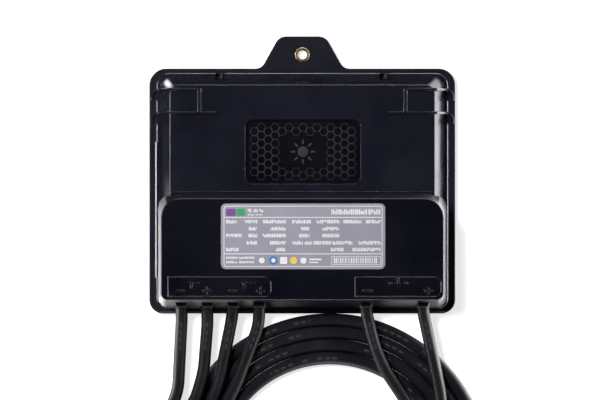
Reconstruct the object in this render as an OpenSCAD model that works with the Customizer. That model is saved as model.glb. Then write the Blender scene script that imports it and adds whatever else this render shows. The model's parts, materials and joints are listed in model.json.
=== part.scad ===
// Electronics housing with a hanging tab, a circuit board inside and six cables that end in
// plugs and sockets; the two output cables are wound in a coil.
// The back lies on z = 0 and the front faces +Z. The tab is at the top (+Y), the cables
// leave through the bottom wall (-Y), and x = 0 is the housing's centre line.

/* [Housing] */
// Width of the housing over its flange
body_w = 156; // [152:1:158]
// Height of the housing over its flange, without the hanging tab
body_h = 124.8; // [123:0.2:126]
// Thickness of the rear shell's flange and tab
flange_t = 4; // [3.6:0.1:4.4]
// Height of the upper, lower-lying front face above the back
plateau_z = 17; // [16.6:0.1:18]
// Height of the cable box's front face above the back
box_z = 30; // [29:0.5:32]
// Wall thickness of the front shell
wall = 2.2; // [2:0.1:2.4]
// Projection of the flange beyond the front shell's foot
rim = 3.7; // [3.5:0.1:3.9]

/* [Hanging tab] */
// Distance from the housing's centre to the tab hole
tab_hole_y = 69.4; // [68.6:0.1:70]
// Bore of the brass bush, clearance for an M4 bolt
bush_bore_d = 4.5; // [4.3:0.1:4.8]
// Outside diameter of the bush's head
bush_head_d = 7.4; // [7:0.1:7.8]

/* [Hex recess] */
// Width of the recess in the upper face
recess_w = 58.4; // [57:0.2:60]
// Height of the recess in the upper face
recess_h = 32.4; // [31.6:0.2:33]
// Depth of the recess
recess_d = 1.6; // [1.2:0.1:1.8]
// Pitch of the hexagon columns
hex_pitch_x = 3.53; // [3.5:0.01:3.56]
// Pitch of the hexagons in a column
hex_pitch_y = 4.1; // [4.06:0.01:4.14]
// Height of the raised hexagon lines
hex_line_h = 0.5; // [0.3:0.1:0.7]

/* [Cables] */
// Outside diameter of a cable's sheath
cable_d = 6.2; // [6:0.05:6.25]
// Height of the cable exits above the back
cable_z = 9.5; // [9.4:0.05:9.6]
// Sides used to draw a round sheath
cable_sides = 10; // [8:1:12]
// Distance between neighbouring strands of the coil
coil_pitch = 6.5; // [6.4:0.05:6.6]
// Radius of the innermost strand over the top of the coil
coil_r = 58.9; // [58.5:0.1:59.3]

/* [Connectors] */
// Largest radius of a gland nut
nut_r = 8.6; // [8.5:0.05:8.7]

/* [Hidden] */
$fn = 48;

half_w = body_w / 2;
half_h = body_h / 2;
foot_half_w = half_w - rim;  // the front shell's foot
foot_half_h = half_h - 2.3;
slope_z = flange_t + 1;      // where the sloped walls start
floor_t = 2.2;               // rear shell under the board
cable_r = cable_d / 2;

// Cables by their number in the tables below
in1_neg = 0;
in1_pos = 1;
in2_neg = 2;
in2_pos = 3;
out_neg = 4;
out_pos = 5;
exit_x = [-61.4, -48.3, -35.3, -22, 32.2, 61.3];

shell_screw_at = [[-63.5, 47.5], [63.5, 47.5], [-65.5, -8], [65.5, -8], [5, -51.5], [0, 48.6]];
board_screw_at = [[-53, 39], [53, 39], [-53, -33], [53, -33]];
board_z = 4.4;
board_t = 1.6;
board_top = board_z + board_t;

// Two blocks per side clamp the cables, with screws between exits
clamp_x = [[-66, -17], [27, 66]];
clamp_y = [-53, -48];
clamp_gap = 0.1;  // from a block to the cables' centre height
clamp_bar_top = cable_z + 5.6;
clamp_screw_at = [for (x = [(exit_x[0] + exit_x[1]) / 2, (exit_x[2] + exit_x[3]) / 2, 40.5, 53])
  [x, (clamp_y[0] + clamp_y[1]) / 2]];

// ---- helpers: x, y and z arguments are [from, to] pairs -------------------
function span(half, middle = 0) = [middle - half, middle + half];
function unit(v) = v / norm(v);
function arc(centre, radius, start, angle, steps) = [for (i = [0:steps])
  let (a = start + angle * i / steps) centre + radius * [cos(a), sin(a)]];
// Rounded rectangle, counter-clockwise, with its own top and bottom corner radii
function rounded(x, y, top_r, bottom_r, steps = 6) = concat(
  arc([x[1] - top_r, y[1] - top_r], top_r, 0, 90, steps),
  arc([x[0] + top_r, y[1] - top_r], top_r, 90, 90, steps),
  arc([x[0] + bottom_r, y[0] + bottom_r], bottom_r, 180, 90, steps),
  arc([x[1] - bottom_r, y[0] + bottom_r], bottom_r, 270, 90, steps));

// Solid between two outlines of equal point count
module loft(lower, upper, z) {
  n = len(lower);
  polyhedron(
    points = concat([for (p = lower) [p[0], p[1], z[0]]], [for (p = upper) [p[0], p[1], z[1]]]),
    faces = concat(
      [[for (i = [0:n - 1]) i]],
      [[for (i = [0:n - 1]) 2 * n - 1 - i]],
      [for (i = [0:n - 1]) [i, n + i, n + (i + 1) % n]],
      [for (i = [0:n - 1]) [i, n + (i + 1) % n, (i + 1) % n]]),
    convexity = 4);
}
module prism(outline, z) translate([0, 0, z[0]]) linear_extrude(z[1] - z[0]) polygon(outline);
module box(x, y, z) translate([x[0], y[0], z[0]]) cube([x[1] - x[0], y[1] - y[0], z[1] - z[0]]);
module post(z, r) translate([0, 0, z[0]]) cylinder(h = z[1] - z[0], r = r);
// Round bar along Y on the axis of the cable exit at x
module exit_bar(x, y, r)
  translate([x, y[1], cable_z]) rotate([90, 0, 0]) cylinder(h = y[1] - y[0], r = r);
module exit_bars(y, r) for (x = exit_x) exit_bar(x, y, r);
module at_each(places, z = 0) for (p = places) translate([p[0], p[1], z]) children();
module mirrored() {
  children();
  mirror([1, 0, 0]) children();
}

// ---- rear shell ----------------------------------------------------------
tab_top = half_h + 16.4;
tab_flank = 59;     // slope of the tab's straight flanks, degrees
tab_crown_x = 11.6; // where a flank's line meets the top
tab_base_x = 21;    // where a flank's line meets the flange
crown_r = 6;
blend_r = 5;
bush_head_z = flange_t - 0.6;

// Tab outline: straight flanks with a rounded crown and concave blends into the flange
function tab_outline() = let (
    steps = 8,
    crown = [tab_crown_x - crown_r * tan(tab_flank / 2), tab_top - crown_r],
    blend = [tab_base_x + blend_r * tan(tab_flank / 2), half_h + blend_r])
  concat(
    arc(blend, blend_r, 270, -tab_flank, steps),
    arc(crown, crown_r, 90 - tab_flank, tab_flank, steps),
    arc([-crown[0], crown[1]], crown_r, 90, tab_flank, steps),
    arc([-blend[0], blend[1]], blend_r, 270 + tab_flank, -tab_flank, steps),
    [[-30, half_h - 8], [30, half_h - 8]]);

// Outline of the front shell's foot, moved inwards
function foot_outline(inset = 0) =
  rounded(span(foot_half_w - inset), span(foot_half_h - inset), 6.5 - inset, 5.5 - inset);
module foot_ring(outer_inset, inner_inset, z) difference() {
  prism(foot_outline(outer_inset), z);
  prism(foot_outline(inner_inset), [z[0] - 0.8, z[1] + 1]);
}
gasket_z = 2.8;

module clamp_blocks(z) for (x = clamp_x) box(x, clamp_y, z);
module clamp_bores() exit_bars([clamp_y[0] - 1, clamp_y[1] + 1], cable_r + 0.05);

module rear_shell() color("#1d1e25") difference() {
  union() {
    difference() {
      union() {
        prism(rounded(span(half_w), span(half_h), 8.6, 7), [0, flange_t]);
        prism(tab_outline(), [0, flange_t]);
      }
      // pocket under the board and the groove for the gasket
      prism(rounded(span(67.5), [-54, 53.4], 4, 4), [floor_t, flange_t + 1]);
      foot_ring(0.3, 2.1, [gasket_z, flange_t + 1]);
    }
    at_each(shell_screw_at) post([0.5, flange_t], 4.4);
    at_each(board_screw_at) post([1, board_z], 3.2);
    // lower halves of the cable clamp
    clamp_blocks([1, cable_z - clamp_gap]);
  }
  // stepped hole for the bush
  translate([0, tab_hole_y, 0]) {
    post([-1, 9], 3.2);
    post([bush_head_z, bush_head_z + 2], bush_head_d / 2);
  }
  // counterbored shell screw holes
  at_each(shell_screw_at) {
    post([-1, 1.8], 2.9);
    post([1, 6], 1.6);
  }
  at_each(board_screw_at) post([1.2, 6.2], 1.3);
  clamp_bores();
  at_each(clamp_screw_at) post([3, 13], 1.3);
  // shallow recessed fields between ribs on the back
  for (i = [-2.5:2.5]) prism(rounded(span(7.6, i * 18), [-42, 40], 2, 2, 3), [-1, 0.7]);
}

module tab_bush() color("#e3d3b1") translate([0, tab_hole_y, 0]) difference() {
  union() {
    post([0, flange_t], 3.18);
    post([bush_head_z, bush_head_z + 1], bush_head_d / 2 - 0.02);
  }
  post([-1, 9], bush_bore_d / 2);
}

module shell_gasket() color("#2f6f8f") foot_ring(0.4, 2, [gasket_z, flange_t]);

// ---- front shell ---------------------------------------------------------
rib_w = 1.2;
rib_top = plateau_z + 0.9;
rib_root = plateau_z - 0.6;
port_frame_x = [[-68.2, -15.8], [26.4, 70.3]];
port_frame_line = 0.5;
recess_centre = [0.3, 19.9];
recess_floor = plateau_z - recess_d;
hex_r = hex_pitch_y / sqrt(3);
hex_half_line = 0.25;

// Sloped bodies, moved inwards by inset to give the cavity
module upper_body(inset, z) loft(
  rounded(span(72.7 - inset), [-40, foot_half_h - 1.1 - inset], 6, 5),
  rounded(span(67.2 - inset), [-40, 53.8 - inset], 5, 4), z);
module cable_box(inset, z) loft(
  rounded(span(foot_half_w - 0.8 - inset), [-foot_half_h + 0.6 + inset, 1.6 - inset],
    11 - inset / 2, 5 - inset / 2),
  rounded(span(71.5 - inset), [-55.2 + inset, -3.8 - inset],
    10 - inset / 2, 3.4 - inset / 2), z);

// One moulded rib: over the face, down the slope, over the foot, with a hooked end
module rib(inner_x, y) {
  translate([0, y + rib_w / 2, 0]) rotate([90, 0, 0]) linear_extrude(rib_w) polygon([
    [inner_x, rib_root], [inner_x, rib_top], [67.5, rib_top], [73.4, slope_z + 1.5],
    [73.6, slope_z + 0.5], [73.6, flange_t], [71, flange_t], [66, rib_root]]);
  translate([72.4, y - 4, flange_t])
    rotate_extrude(angle = 90, $fn = 48) translate([3.4, 0]) square([rib_w, 1.5]);
}

// Frame outline, moved inwards, with its two right-hand corners cut off
function port_frame(x, inset) = let (
    cut_x = x[1] - 2.4 - inset * 0.4,
    bottom = -53.6 + inset,
    top = -43.3 - inset)
  [[x[0] + inset, bottom], [cut_x, bottom], [x[1] - inset, -51.2 + inset * 0.4],
   [x[1] - inset, -45.7 - inset * 0.4], [cut_x, top], [x[0] + inset, top]];

module outer_form() {
  prism(foot_outline(), [flange_t, slope_z]);
  upper_body(0, [slope_z, plateau_z]);
  cable_box(0, [slope_z, box_z]);
  // two ribs on each side and the bar that joins them
  mirrored() {
    rib(52.3, 51.5);
    rib(43.1, 39.6);
    box([51.3, 53.3], [39.2, 52], [plateau_z - 0.5, rib_top]);
  }
  // seats inside the wall and hoods over the cable exits
  exit_bars([-57.3, -54.5], 5.3);
  for (x = exit_x) box(span(3, x), [-58.9, -54.5], [cable_z, 22]);
  // frames round the port marks
  translate([0, 0, box_z - 0.2]) linear_extrude(0.5) for (x = port_frame_x) difference() {
    polygon(port_frame(x, 0));
    polygon(port_frame(x, port_frame_line));
  }
}

// Hexagon centres: fifteen columns round a plain middle
hex_at = [for (column = [-7:7])
  let (last = abs(column) % 2 == 1 ? 5 : 6)
  for (k = [0:last])
    let (y = (k - last / 2) * hex_pitch_y)
    if (abs(column) > 3 || abs(y) > 9.5) [column * hex_pitch_x, y]];

// Cut for the recess, leaving hexagon lines and a plain sun symbol standing
module hex_recess() difference() {
  prism(rounded(span(recess_w / 2, recess_centre[0]), span(recess_h / 2, recess_centre[1]), 4, 4),
    [recess_floor, plateau_z + 1]);
  translate([recess_centre[0], recess_centre[1], recess_floor - 1]) {
    linear_extrude(1 + hex_line_h) offset(delta = 0.001) union()
      for (place = hex_at) translate(place) difference() {
        circle(r = hex_r + hex_half_line, $fn = 6);
        circle(r = hex_r - hex_half_line, $fn = 6);
      }
    post([0, 1.9], 2.7);
    for (a = [0:45:315]) rotate([0, 0, a]) box([3.9, 6.1], span(0.45), [0, 1.8]);
  }
}

module front_shell() color("#22242d") difference() {
  union() {
    difference() {
      outer_form();
      upper_body(wall, [flange_t - 1, plateau_z - wall]);
      cable_box(wall, [flange_t - 1, box_z - wall]);
    }
    // floor of the hex recess, notch pockets, screw bosses
    box([-31, 31], [1.5, 38.2], [recess_floor - 2, plateau_z - 0.5]);
    mirrored() box([38.2, 45.4], [54.4, 56.6], [flange_t, 9.8]);
    for (p = shell_screw_at) translate(p)
      post([flange_t, (p[1] > 0 ? plateau_z : box_z) - 1], 3.4);
  }
  at_each(shell_screw_at) post([flange_t - 1, flange_t + 8], 1.55);
  mirrored() box([39.4, 44.2], [56.4, 62], [flange_t - 1, plateau_z + 2]);
  hex_recess();
  exit_bars([-62, -50], 4);
  prism(label_outline(0.3), [label_z, box_z + 1]);
}

label_z = box_z - 0.3;
function label_outline(grow = 0) =
  rounded([-41.2 - grow, 41.9 + grow], [-39.6 - grow, -6.4 + grow], 2.5 + grow, 2.5 + grow, 4);
module rating_label() color("#a5a3b3") prism(label_outline(), [label_z, box_z + 0.05]);

module shell_screws() color("silver") at_each(shell_screw_at) difference() {
  union() {
    post([0.2, 1.8], 2.75);
    post([1, 11.5], 1.5);
  }
  post([-0.5, 1.4], 1.2, $fn = 6);
}

// ---- board and its parts -------------------------------------------------
spreader_top = floor_t + 1.4;
board_top_y = 43;  // shared top edge of the board and the heat spreader
inductor_at = [[-35, -21], [35, -21]];
choke_at = [0, -21];

// Row of equal blocks on the board, centred on each x of the list
module board_blocks(at, width, y, height)
  for (x = at) box(span(width / 2, x), y, [board_top, board_top + height]);

module heat_spreader() color("#b9bcc0") difference() {
  box(span(48), [-30, board_top_y], [floor_t, spreader_top]);
  at_each(board_screw_at) post([0, 10], 4);
}
module thermal_pads() color("#7fa3c4")
  for (x = [-36, -12, 12, 36]) box(span(9, x), [4, 38], [spreader_top, board_z]);
module circuit_board() color("#1f6b3a") difference() {
  box(span(58), [-44, board_top_y], [board_z, board_top]);
  at_each(board_screw_at) post([0, 10], 1.6);
}
module board_screws() color("silver") at_each(board_screw_at) {
  post([1.6, board_top + 0.1], 1.25);
  post([board_top, board_top + 1.5], 2.6);
}
// Block open to both Y ends, with a round centre post
module inductor_cores() color("#3a3d42") at_each(inductor_at, board_top) {
  difference() {
    box(span(15), span(11), [0, 20]);
    post([3.5, 16.5], 11.8);
    box(span(11.8), span(12), [3.5, 16.5]);
  }
  post([3, 17], 5);
}
module inductor_windings() color("#b5651d") at_each(inductor_at, board_top) difference() {
  post([3.8, 16.2], 10.8);
  post([3, 18], 5.4);
}
module choke_core() color("#4a5a48") at_each([choke_at], board_top + 1.6) difference() {
  post([0, 8], 11);
  post([-1, 9], 6);
}
// Square loops round the choke's ring, in two groups of five
module choke_winding() color("#c27a2c") at_each([choke_at], board_top + 0.6)
  for (start = [-60, 120], i = [0:4]) rotate([0, 0, start + 30 * i]) difference() {
    box([4.6, 12.4], span(1), [0, 10]);
    box([5.9, 11.1], span(2), [0.9, 9.1]);
  }
module input_capacitors() color("#8b2f2a")
  board_blocks(at = [-52, -20, 20, 52], width = 8, y = [-6.5, -2.5], height = 8.4);
module output_capacitors() color("#202a4a")
  at_each([for (x = [-13.2, 3, 19]) [x, -39.2]], board_top) cylinder(h = 16, r = 4);
module power_transistors() color("#26272b") board_blocks(
  at = [-42, -30, -18, -6, 6, 18, 30, 42], width = 9.6, y = [20, 30], height = 2.3);
module bypass_diodes() color("#2b2b2f")
  board_blocks(at = [-40, 40], width = 10, y = [34, 41], height = 3.2);
module controller_chip() color("#1b1c1f")
  board_blocks(at = [0], width = 12, y = [6, 18], height = 1.2);
module gate_drivers() color("#1b1c1f")
  board_blocks(at = [-36, -20, 20, 36], width = 5, y = [10, 16], height = 1.5);
module current_shunts() color("#8f9196")
  board_blocks(at = [-46, -28, 28, 46], width = 6.4, y = [3.4, 6.6], height = 0.8);

// ---- cable fixings -------------------------------------------------------
cable_start_y = -46.9;  // where the sheath ends inside the housing

module cable_terminals() color("#c9c3a6") for (x = exit_x) difference() {
  board_blocks(at = [x], width = 6.8, y = [-43.8, -36.8], height = 7);
  exit_bar(x, [-45, -38], 1.4);
}
module conductor_ends() color("#c9c9cc") exit_bars([cable_start_y, -38.2], 1.32);
module clamp_bars() color("#33353c") difference() {
  clamp_blocks([cable_z + clamp_gap, clamp_bar_top]);
  clamp_bores();
  at_each(clamp_screw_at) post([cable_z - 1, cable_z + 9], 1.6);
}
module clamp_screws() color("silver") at_each(clamp_screw_at) {
  post([3.4, clamp_bar_top + 0.1], 1.25);
  post([clamp_bar_top, clamp_bar_top + 1.6], 2.4);
}
// Sleeves through the wall, each bored along the first 36 mm of its cable's own path
module cable_grommets() color("#15161a") for (i = [in1_neg:out_pos]) {
  path = cable_path(routes[i], level);
  run = lengths(path);
  difference() {
    union() {
      exit_bar(exit_x[i], [-54.4, -53.2], 4.8);
      exit_bar(exit_x[i], [-59.2, -54.3], 3.92);
    }
    sweep([for (k = [0:len(path) - 1]) if (run[k] < 36) path[k]], cable_r + 0.04);
  }
}

// ---- cable paths ---------------------------------------------------------
// A route is a list of [corner, bend radius]; heights are a list of [length, height] knots
step_length = 9;  // spacing of points along a straight
function heading(route, k) = unit(route[k + 1][0] - route[k][0]);
function turn(route, k) = acos(max(-1, min(1, heading(route, k - 1) * heading(route, k))));
// Distance from corner k to where its bend starts and ends
function setback(route, k) =
  (k <= 0 || k >= len(route) - 1) ? 0 : route[k][1] * tan(turn(route, k) / 2);
// Points round the bend at corner k, in steps of at most 8 degrees
function bend(route, k) = let (
    ahead = heading(route, k - 1),
    next = heading(route, k),
    angle = turn(route, k),
    radius = route[k][1],
    side = sign(ahead[0] * next[1] - ahead[1] * next[0]),
    normal = [-ahead[1], ahead[0]] * side,
    centre = route[k][0] - ahead * setback(route, k) + normal * radius,
    steps = max(1, ceil(angle / 8)))
  [for (i = [0:steps]) let (a = angle * i / steps)
    centre - normal * radius * cos(a) + ahead * radius * sin(a)];
// Extra points along the straight before corner k
function straight(route, k) = let (
    ahead = heading(route, k - 1),
    from = route[k - 1][0] + ahead * setback(route, k - 1),
    to = route[k][0] - ahead * setback(route, k),
    n = floor(norm(to - from) / step_length),
    crowded = norm(to - from) - n * step_length < 0.5)
  n < 1 ? [] : [for (i = [(k == 1 ? 0 : 1):n - (crowded ? 1 : 0)])
    from + (to - from) * i / (n + 0.5)];
function raw_plan(route) = [for (k = [1:len(route) - 1])
  for (p = concat(straight(route, k), k < len(route) - 1 ? bend(route, k) : [route[k][0]])) p];
// The same points without any that fall together
function plan(route) = let (points = raw_plan(route))
  [for (i = [0:len(points) - 1])
    if (i == 0 || norm(points[i] - points[i - 1]) > 0.2) points[i]];
// Length along the points up to each of them
function lengths(points) = [
  for (i = 0, run = 0;
       i < len(points);
       run = run + (i + 1 < len(points) ? norm(points[i + 1] - points[i]) : 0), i = i + 1)
    run];
// Length along the route at which corner k's bend starts
function reach(route, k) = k < 1 ? 0 :
  reach(route, k - 1) + (k > 1 ? route[k - 1][1] * turn(route, k - 1) * PI / 180 : 0)
  + norm(route[k][0] - route[k - 1][0]) - setback(route, k - 1) - setback(route, k);
function smooth(t) = t <= 0 ? 0 : t >= 1 ? 1 : t * t * (3 - 2 * t);
function height(knots, s, i = 0) =
  i >= len(knots) - 1 ? knots[len(knots) - 1][1]
  : s > knots[i + 1][0] ? height(knots, s, i + 1)
  : let (a = knots[i], b = knots[i + 1]) a[1] + (b[1] - a[1]) * smooth((s - a[0]) / (b[0] - a[0]));
function cable_path(route, knots) = let (points = plan(route), run = lengths(points))
  [for (i = [0:len(points) - 1]) [points[i][0], points[i][1], height(knots, run[i])]];

// Bar with cable_sides sides along a path
module sweep(path, r) {
  n = cable_sides;
  last = len(path) - 1;
  points = [for (i = [0:last])
    let (
      along = i == 0 ? unit(path[1] - path[0])
        : i == last ? unit(path[last] - path[last - 1])
        : unit(unit(path[i + 1] - path[i]) + unit(path[i] - path[i - 1])),
      side = unit(cross([0, 0, 1], along)),
      up = cross(along, side))
    for (j = [0:n - 1]) let (a = 360 * (j + 0.5) / n)
      path[i] + r * (cos(a) * side + sin(a) * up)];
  polyhedron(
    points = points,
    faces = concat(
      [[for (j = [0:n - 1]) j]],
      [[for (j = [0:n - 1]) (last + 1) * n - 1 - j]],
      [for (i = [0:last - 1], j = [0:n - 1])
        [i * n + j, (i + 1) * n + j, (i + 1) * n + (j + 1) % n]],
      [for (i = [0:last - 1], j = [0:n - 1])
        [i * n + j, (i + 1) * n + (j + 1) % n, i * n + (j + 1) % n]]),
    convexity = 10);
}

// ---- cable routes --------------------------------------------------------
input_heading = -118;   // degrees
input_gap = 17.9;       // spacing of the input connectors
input_along = 206;      // their distance from the origin along the heading
input_aside = 16.34;    // sideways place of the last one, in line with its cable
out_pos_x = 104;
plug_in_depth = 20;     // how far a cable runs into its connector
coil_top = [14, -144];  // centre of the coil's upper half turns
coil_bottom = coil_top - [coil_pitch, 0];  // centre of its lower half turns

function strand_r(k) = coil_r + k * coil_pitch;
function from_input_axes(along, aside) = [
  cos(input_heading) * along - sin(input_heading) * aside,
  sin(input_heading) * along + cos(input_heading) * aside];

// Connector ends: [middle of the gland nut's rear face, heading]
ends = concat(
  [for (i = [0:3])
    [from_input_axes(input_along, input_aside - (3 - i) * input_gap), input_heading]],
  [[[coil_top[0] + strand_r(2), -176], -90], [[out_pos_x, -186], -90]]);

// Point on connector i's axis, beyond its rear face
function on_axis(i, x) = ends[i][0] + x * [cos(ends[i][1]), sin(ends[i][1])];
function lead_in(i) = on_axis(i, -24);

function half_turn(centre, x, y, r) = [[centre + [x, y] * r, r], [centre + [-x, y] * r, r]];
function lower_turn(k) = half_turn(coil_bottom, 1, -1, strand_r(k));
function upper_turn(k) = half_turn(coil_top, -1, 1, strand_r(k));
// Two full turns outwards, starting below on strand k
function coil(k) = concat(lower_turn(k), upper_turn(k + 1), lower_turn(k + 2), upper_turn(k + 3));

// Route of cable i: straight out of its exit to a first bend, then the bends, then its connector
function route(i, first_y, first_r, bends) = concat(
  [[[exit_x[i], cable_start_y], 0], [[exit_x[i], first_y], first_r]],
  bends,
  [[on_axis(i, plug_in_depth), 0]]);

routes = [
  route(in1_neg, -66, 60, [[[-63.8, -113], 30], [lead_in(in1_neg), 38]]),
  route(in1_pos, -68, 50, [[[-50.2, -92], 50], [[-56, -111.5], 34], [lead_in(in1_pos), 38]]),
  route(in2_neg, -62, 50, [[[-42, -96], 60], [[-48.2, -113], 44], [lead_in(in2_neg), 44]]),
  route(in2_pos, -68, 30, [[[-33.6, -98], 60]]),
  route(out_neg, -60.5, 40, concat(
    [[[38.6, -86], 70], [[coil_bottom[0] + strand_r(-1), -117.6], 60]],
    coil(-1))),
  route(out_pos, -61, 40, concat(
    [[[72, -111.3], 50], [[coil_bottom[0] + strand_r(0), -133], 40]],
    coil(0),
    [[[coil_top[0] + strand_r(3), -151], 34], [[out_pos_x, -179], 34]]))
];

level = [[0, cable_z], [1, cable_z]];
// Down onto the ground between two lengths, and up again before the route's end
function grounded(route, down_from, down_to, rise) = let (end = reach(route, len(route) - 1))
  [[0, cable_z], [down_from, cable_z], [down_to, cable_r],
   [end - rise, cable_r], [end - 34, cable_z]];
coil_start = reach(routes[out_pos], 4);  // the positive output's first coil bend
cable_heights = [
  level, level, level, level,
  grounded(routes[out_neg], reach(routes[out_neg], 3) + 14, reach(routes[out_neg], 4) + 6, 60),
  grounded(routes[out_pos], coil_start - 1, coil_start + 40, 64)
];

module cable(i) color("#17181c") sweep(cable_path(routes[i], cable_heights[i]), cable_r);
module cable_in1_neg() cable(in1_neg);
module cable_in1_pos() cable(in1_pos);
module cable_in2_neg() cable(in2_neg);
module cable_in2_pos() cable(in2_pos);
module cable_out_neg() cable(out_neg);
module cable_out_pos() cable(out_pos);

// ---- connectors, drawn along +X from the gland nut's rear face ------------
cage_r = 6.1;
sleeve_r = 6.8;       // rear sleeve of a body, inside the nut
sleeve_bore_r = 5.2;
barrel_r = 7.2;
neck_r = 4;           // plug's neck under the nose ring
contact_r = 2.2;
contact_bore_r = 2.3;
socket_ends = [in1_neg, in2_neg, out_neg];
plug_ends = [in1_pos, in2_pos, out_pos];

module at_end(i)
  translate([ends[i][0][0], ends[i][0][1], cable_z]) rotate([0, 0, ends[i][1]]) children();
module rod(x, r) translate([x[0], 0, 0]) rotate([0, 90, 0]) cylinder(h = x[1] - x[0], r = r);

module gland_nut() color("#1b1c20") difference() {
  union() {
    rod([0, 3], 7.6);
    rod([2.5, 15], nut_r, $fn = 12);
    rod([14.5, 17], 8);
  }
  rod([-1, 20], cable_r + 0.5);
  rod([2.2, 8.2], cage_r + 0.08);
  rod([8, 20], sleeve_r + 0.08);
}
module cage() color("#2b2d33") difference() {
  union() {
    rod([2.4, 7.6], cage_r);
    rod([7, 11.4], sleeve_bore_r - 0.08);
  }
  rod([0, 20], cable_r + 0.15);
  for (a = [0:60:300]) rotate([a, 0, 0]) box([8, 13], span(0.4), [3, 7]);
}
module seal() color("#5a5f68") difference() {
  rod([11.6, 16.4], sleeve_bore_r - 0.1);
  rod([0, 20], cable_r + 0.03);
}
// Rear part shared by plug and socket: sleeve, hexagon and collar
module rear_body() difference() {
  union() {
    rod([8.6, 18], sleeve_r);
    rod([17.4, 23], 8.2, $fn = 6);
    rod([22.5, 26], 7.6);
  }
  rod([0, 16.5], sleeve_bore_r);
  rod([10, 21.5], cable_r + 0.1);
  rod([20, 40], contact_bore_r);
}
module socket_body() color("#1b1c20") difference() {
  union() {
    rear_body();
    rod([25.5, 50], barrel_r);
  }
  rod([20, 60], contact_bore_r);
  rod([31, 60], 4.9);
  // latch windows
  for (side = [-1, 1]) box([38, 44], span(2, side * 6.6), span(2.4));
}
module plug_body() color("#1b1c20") difference() {
  union() {
    rear_body();
    rod([25.5, 31], barrel_r);
    rod([30.5, 34.2], neck_r);
    rod([34, 47], 4.3);
    // latch arms, thickened inwards at their tips
    for (side = [-1, 1]) {
      box([28, 45], span(1, side * 7.4), span(2));
      box([42, 45], span(1, side * 6.9), span(2));
    }
  }
  rod([20, 60], contact_bore_r);
}
module contact_crimp() difference() {
  rod([20.2, 27], contact_r);
  rod([19, 25], 1.4);
}
module pin_contact() color("#d8c089") {
  contact_crimp();
  rod([26.5, 44], 1.5);
  rod([28, 30], contact_r);
}
module socket_contact() color("#d8c089") difference() {
  union() {
    contact_crimp();
    rod([26.5, 40], contact_r);
  }
  rod([28.5, 50], 1.55);
}
module socket_bodies() for (i = socket_ends) at_end(i) socket_body();
module plug_bodies() for (i = plug_ends) at_end(i) plug_body();
module socket_contacts() for (i = socket_ends) at_end(i) socket_contact();
module pin_contacts() for (i = plug_ends) at_end(i) pin_contact();
module cable_seals() for (i = [in1_neg:out_pos]) at_end(i) seal();
module nose_rings() color("#3a3d45") for (i = plug_ends) at_end(i) difference() {
  rod([31.6, 34], 5.2);
  rod([30.6, 35], neck_r + 0.03);
}
module cage_in1_neg() at_end(in1_neg) cage();
module cage_in1_pos() at_end(in1_pos) cage();
module cage_in2_neg() at_end(in2_neg) cage();
module cage_in2_pos() at_end(in2_pos) cage();
module cage_out_neg() at_end(out_neg) cage();
module cage_out_pos() at_end(out_pos) cage();
module nut_in1_neg() at_end(in1_neg) gland_nut();
module nut_in1_pos() at_end(in1_pos) gland_nut();
module nut_in2_neg() at_end(in2_neg) gland_nut();
module nut_in2_pos() at_end(in2_pos) gland_nut();
module nut_out_neg() at_end(out_neg) gland_nut();
module nut_out_pos() at_end(out_pos) gland_nut();

rear_shell();
tab_bush();
shell_gasket();
front_shell();
rating_label();
shell_screws();
heat_spreader();
thermal_pads();
circuit_board();
board_screws();
inductor_cores();
inductor_windings();
choke_core();
choke_winding();
input_capacitors();
output_capacitors();
power_transistors();
bypass_diodes();
controller_chip();
gate_drivers();
current_shunts();
cable_terminals();
conductor_ends();
clamp_bars();
clamp_screws();
cable_grommets();
cable_in1_neg();
cable_in1_pos();
cable_in2_neg();
cable_in2_pos();
cable_out_neg();
cable_out_pos();
socket_bodies();
plug_bodies();
socket_contacts();
pin_contacts();
cable_seals();
nose_rings();
cage_in1_neg();
cage_in1_pos();
cage_in2_neg();
cage_in2_pos();
cage_out_neg();
cage_out_pos();
nut_in1_neg();
nut_in1_pos();
nut_in2_neg();
nut_in2_pos();
nut_out_neg();
nut_out_pos();
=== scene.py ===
"""Flat moulded electronics housing with six cables.

The housing lies on the floor with its rear cover down and its front cover up (+Z). A hanging
tab points to +Y. The taller box of the front cover lies at -Y, and the six cables leave its -Y
wall. The four at -X run straight to their connectors. The two at +X are coiled first.
Shapes are measured in millimetres; lights, floor and camera in metres.
"""
import bpy, bmesh, math, random, json
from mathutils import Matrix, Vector

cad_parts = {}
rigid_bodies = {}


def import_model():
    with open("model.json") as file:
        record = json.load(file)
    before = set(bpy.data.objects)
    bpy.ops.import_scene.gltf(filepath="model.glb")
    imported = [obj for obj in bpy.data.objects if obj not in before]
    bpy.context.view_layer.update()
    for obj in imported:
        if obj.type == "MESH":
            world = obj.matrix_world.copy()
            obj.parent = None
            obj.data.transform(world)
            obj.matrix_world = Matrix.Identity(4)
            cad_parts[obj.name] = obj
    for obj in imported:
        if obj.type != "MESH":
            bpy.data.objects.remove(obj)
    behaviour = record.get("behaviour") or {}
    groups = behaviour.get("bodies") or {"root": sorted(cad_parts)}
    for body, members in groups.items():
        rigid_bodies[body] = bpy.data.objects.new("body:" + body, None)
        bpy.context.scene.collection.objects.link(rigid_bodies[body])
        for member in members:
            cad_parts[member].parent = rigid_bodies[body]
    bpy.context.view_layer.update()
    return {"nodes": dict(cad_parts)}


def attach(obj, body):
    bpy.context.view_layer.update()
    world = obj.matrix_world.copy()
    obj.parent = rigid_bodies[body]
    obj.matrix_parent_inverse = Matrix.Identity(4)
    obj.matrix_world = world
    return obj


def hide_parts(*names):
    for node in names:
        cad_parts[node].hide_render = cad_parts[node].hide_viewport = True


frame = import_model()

MM = 0.001
scene = bpy.context.scene


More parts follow.
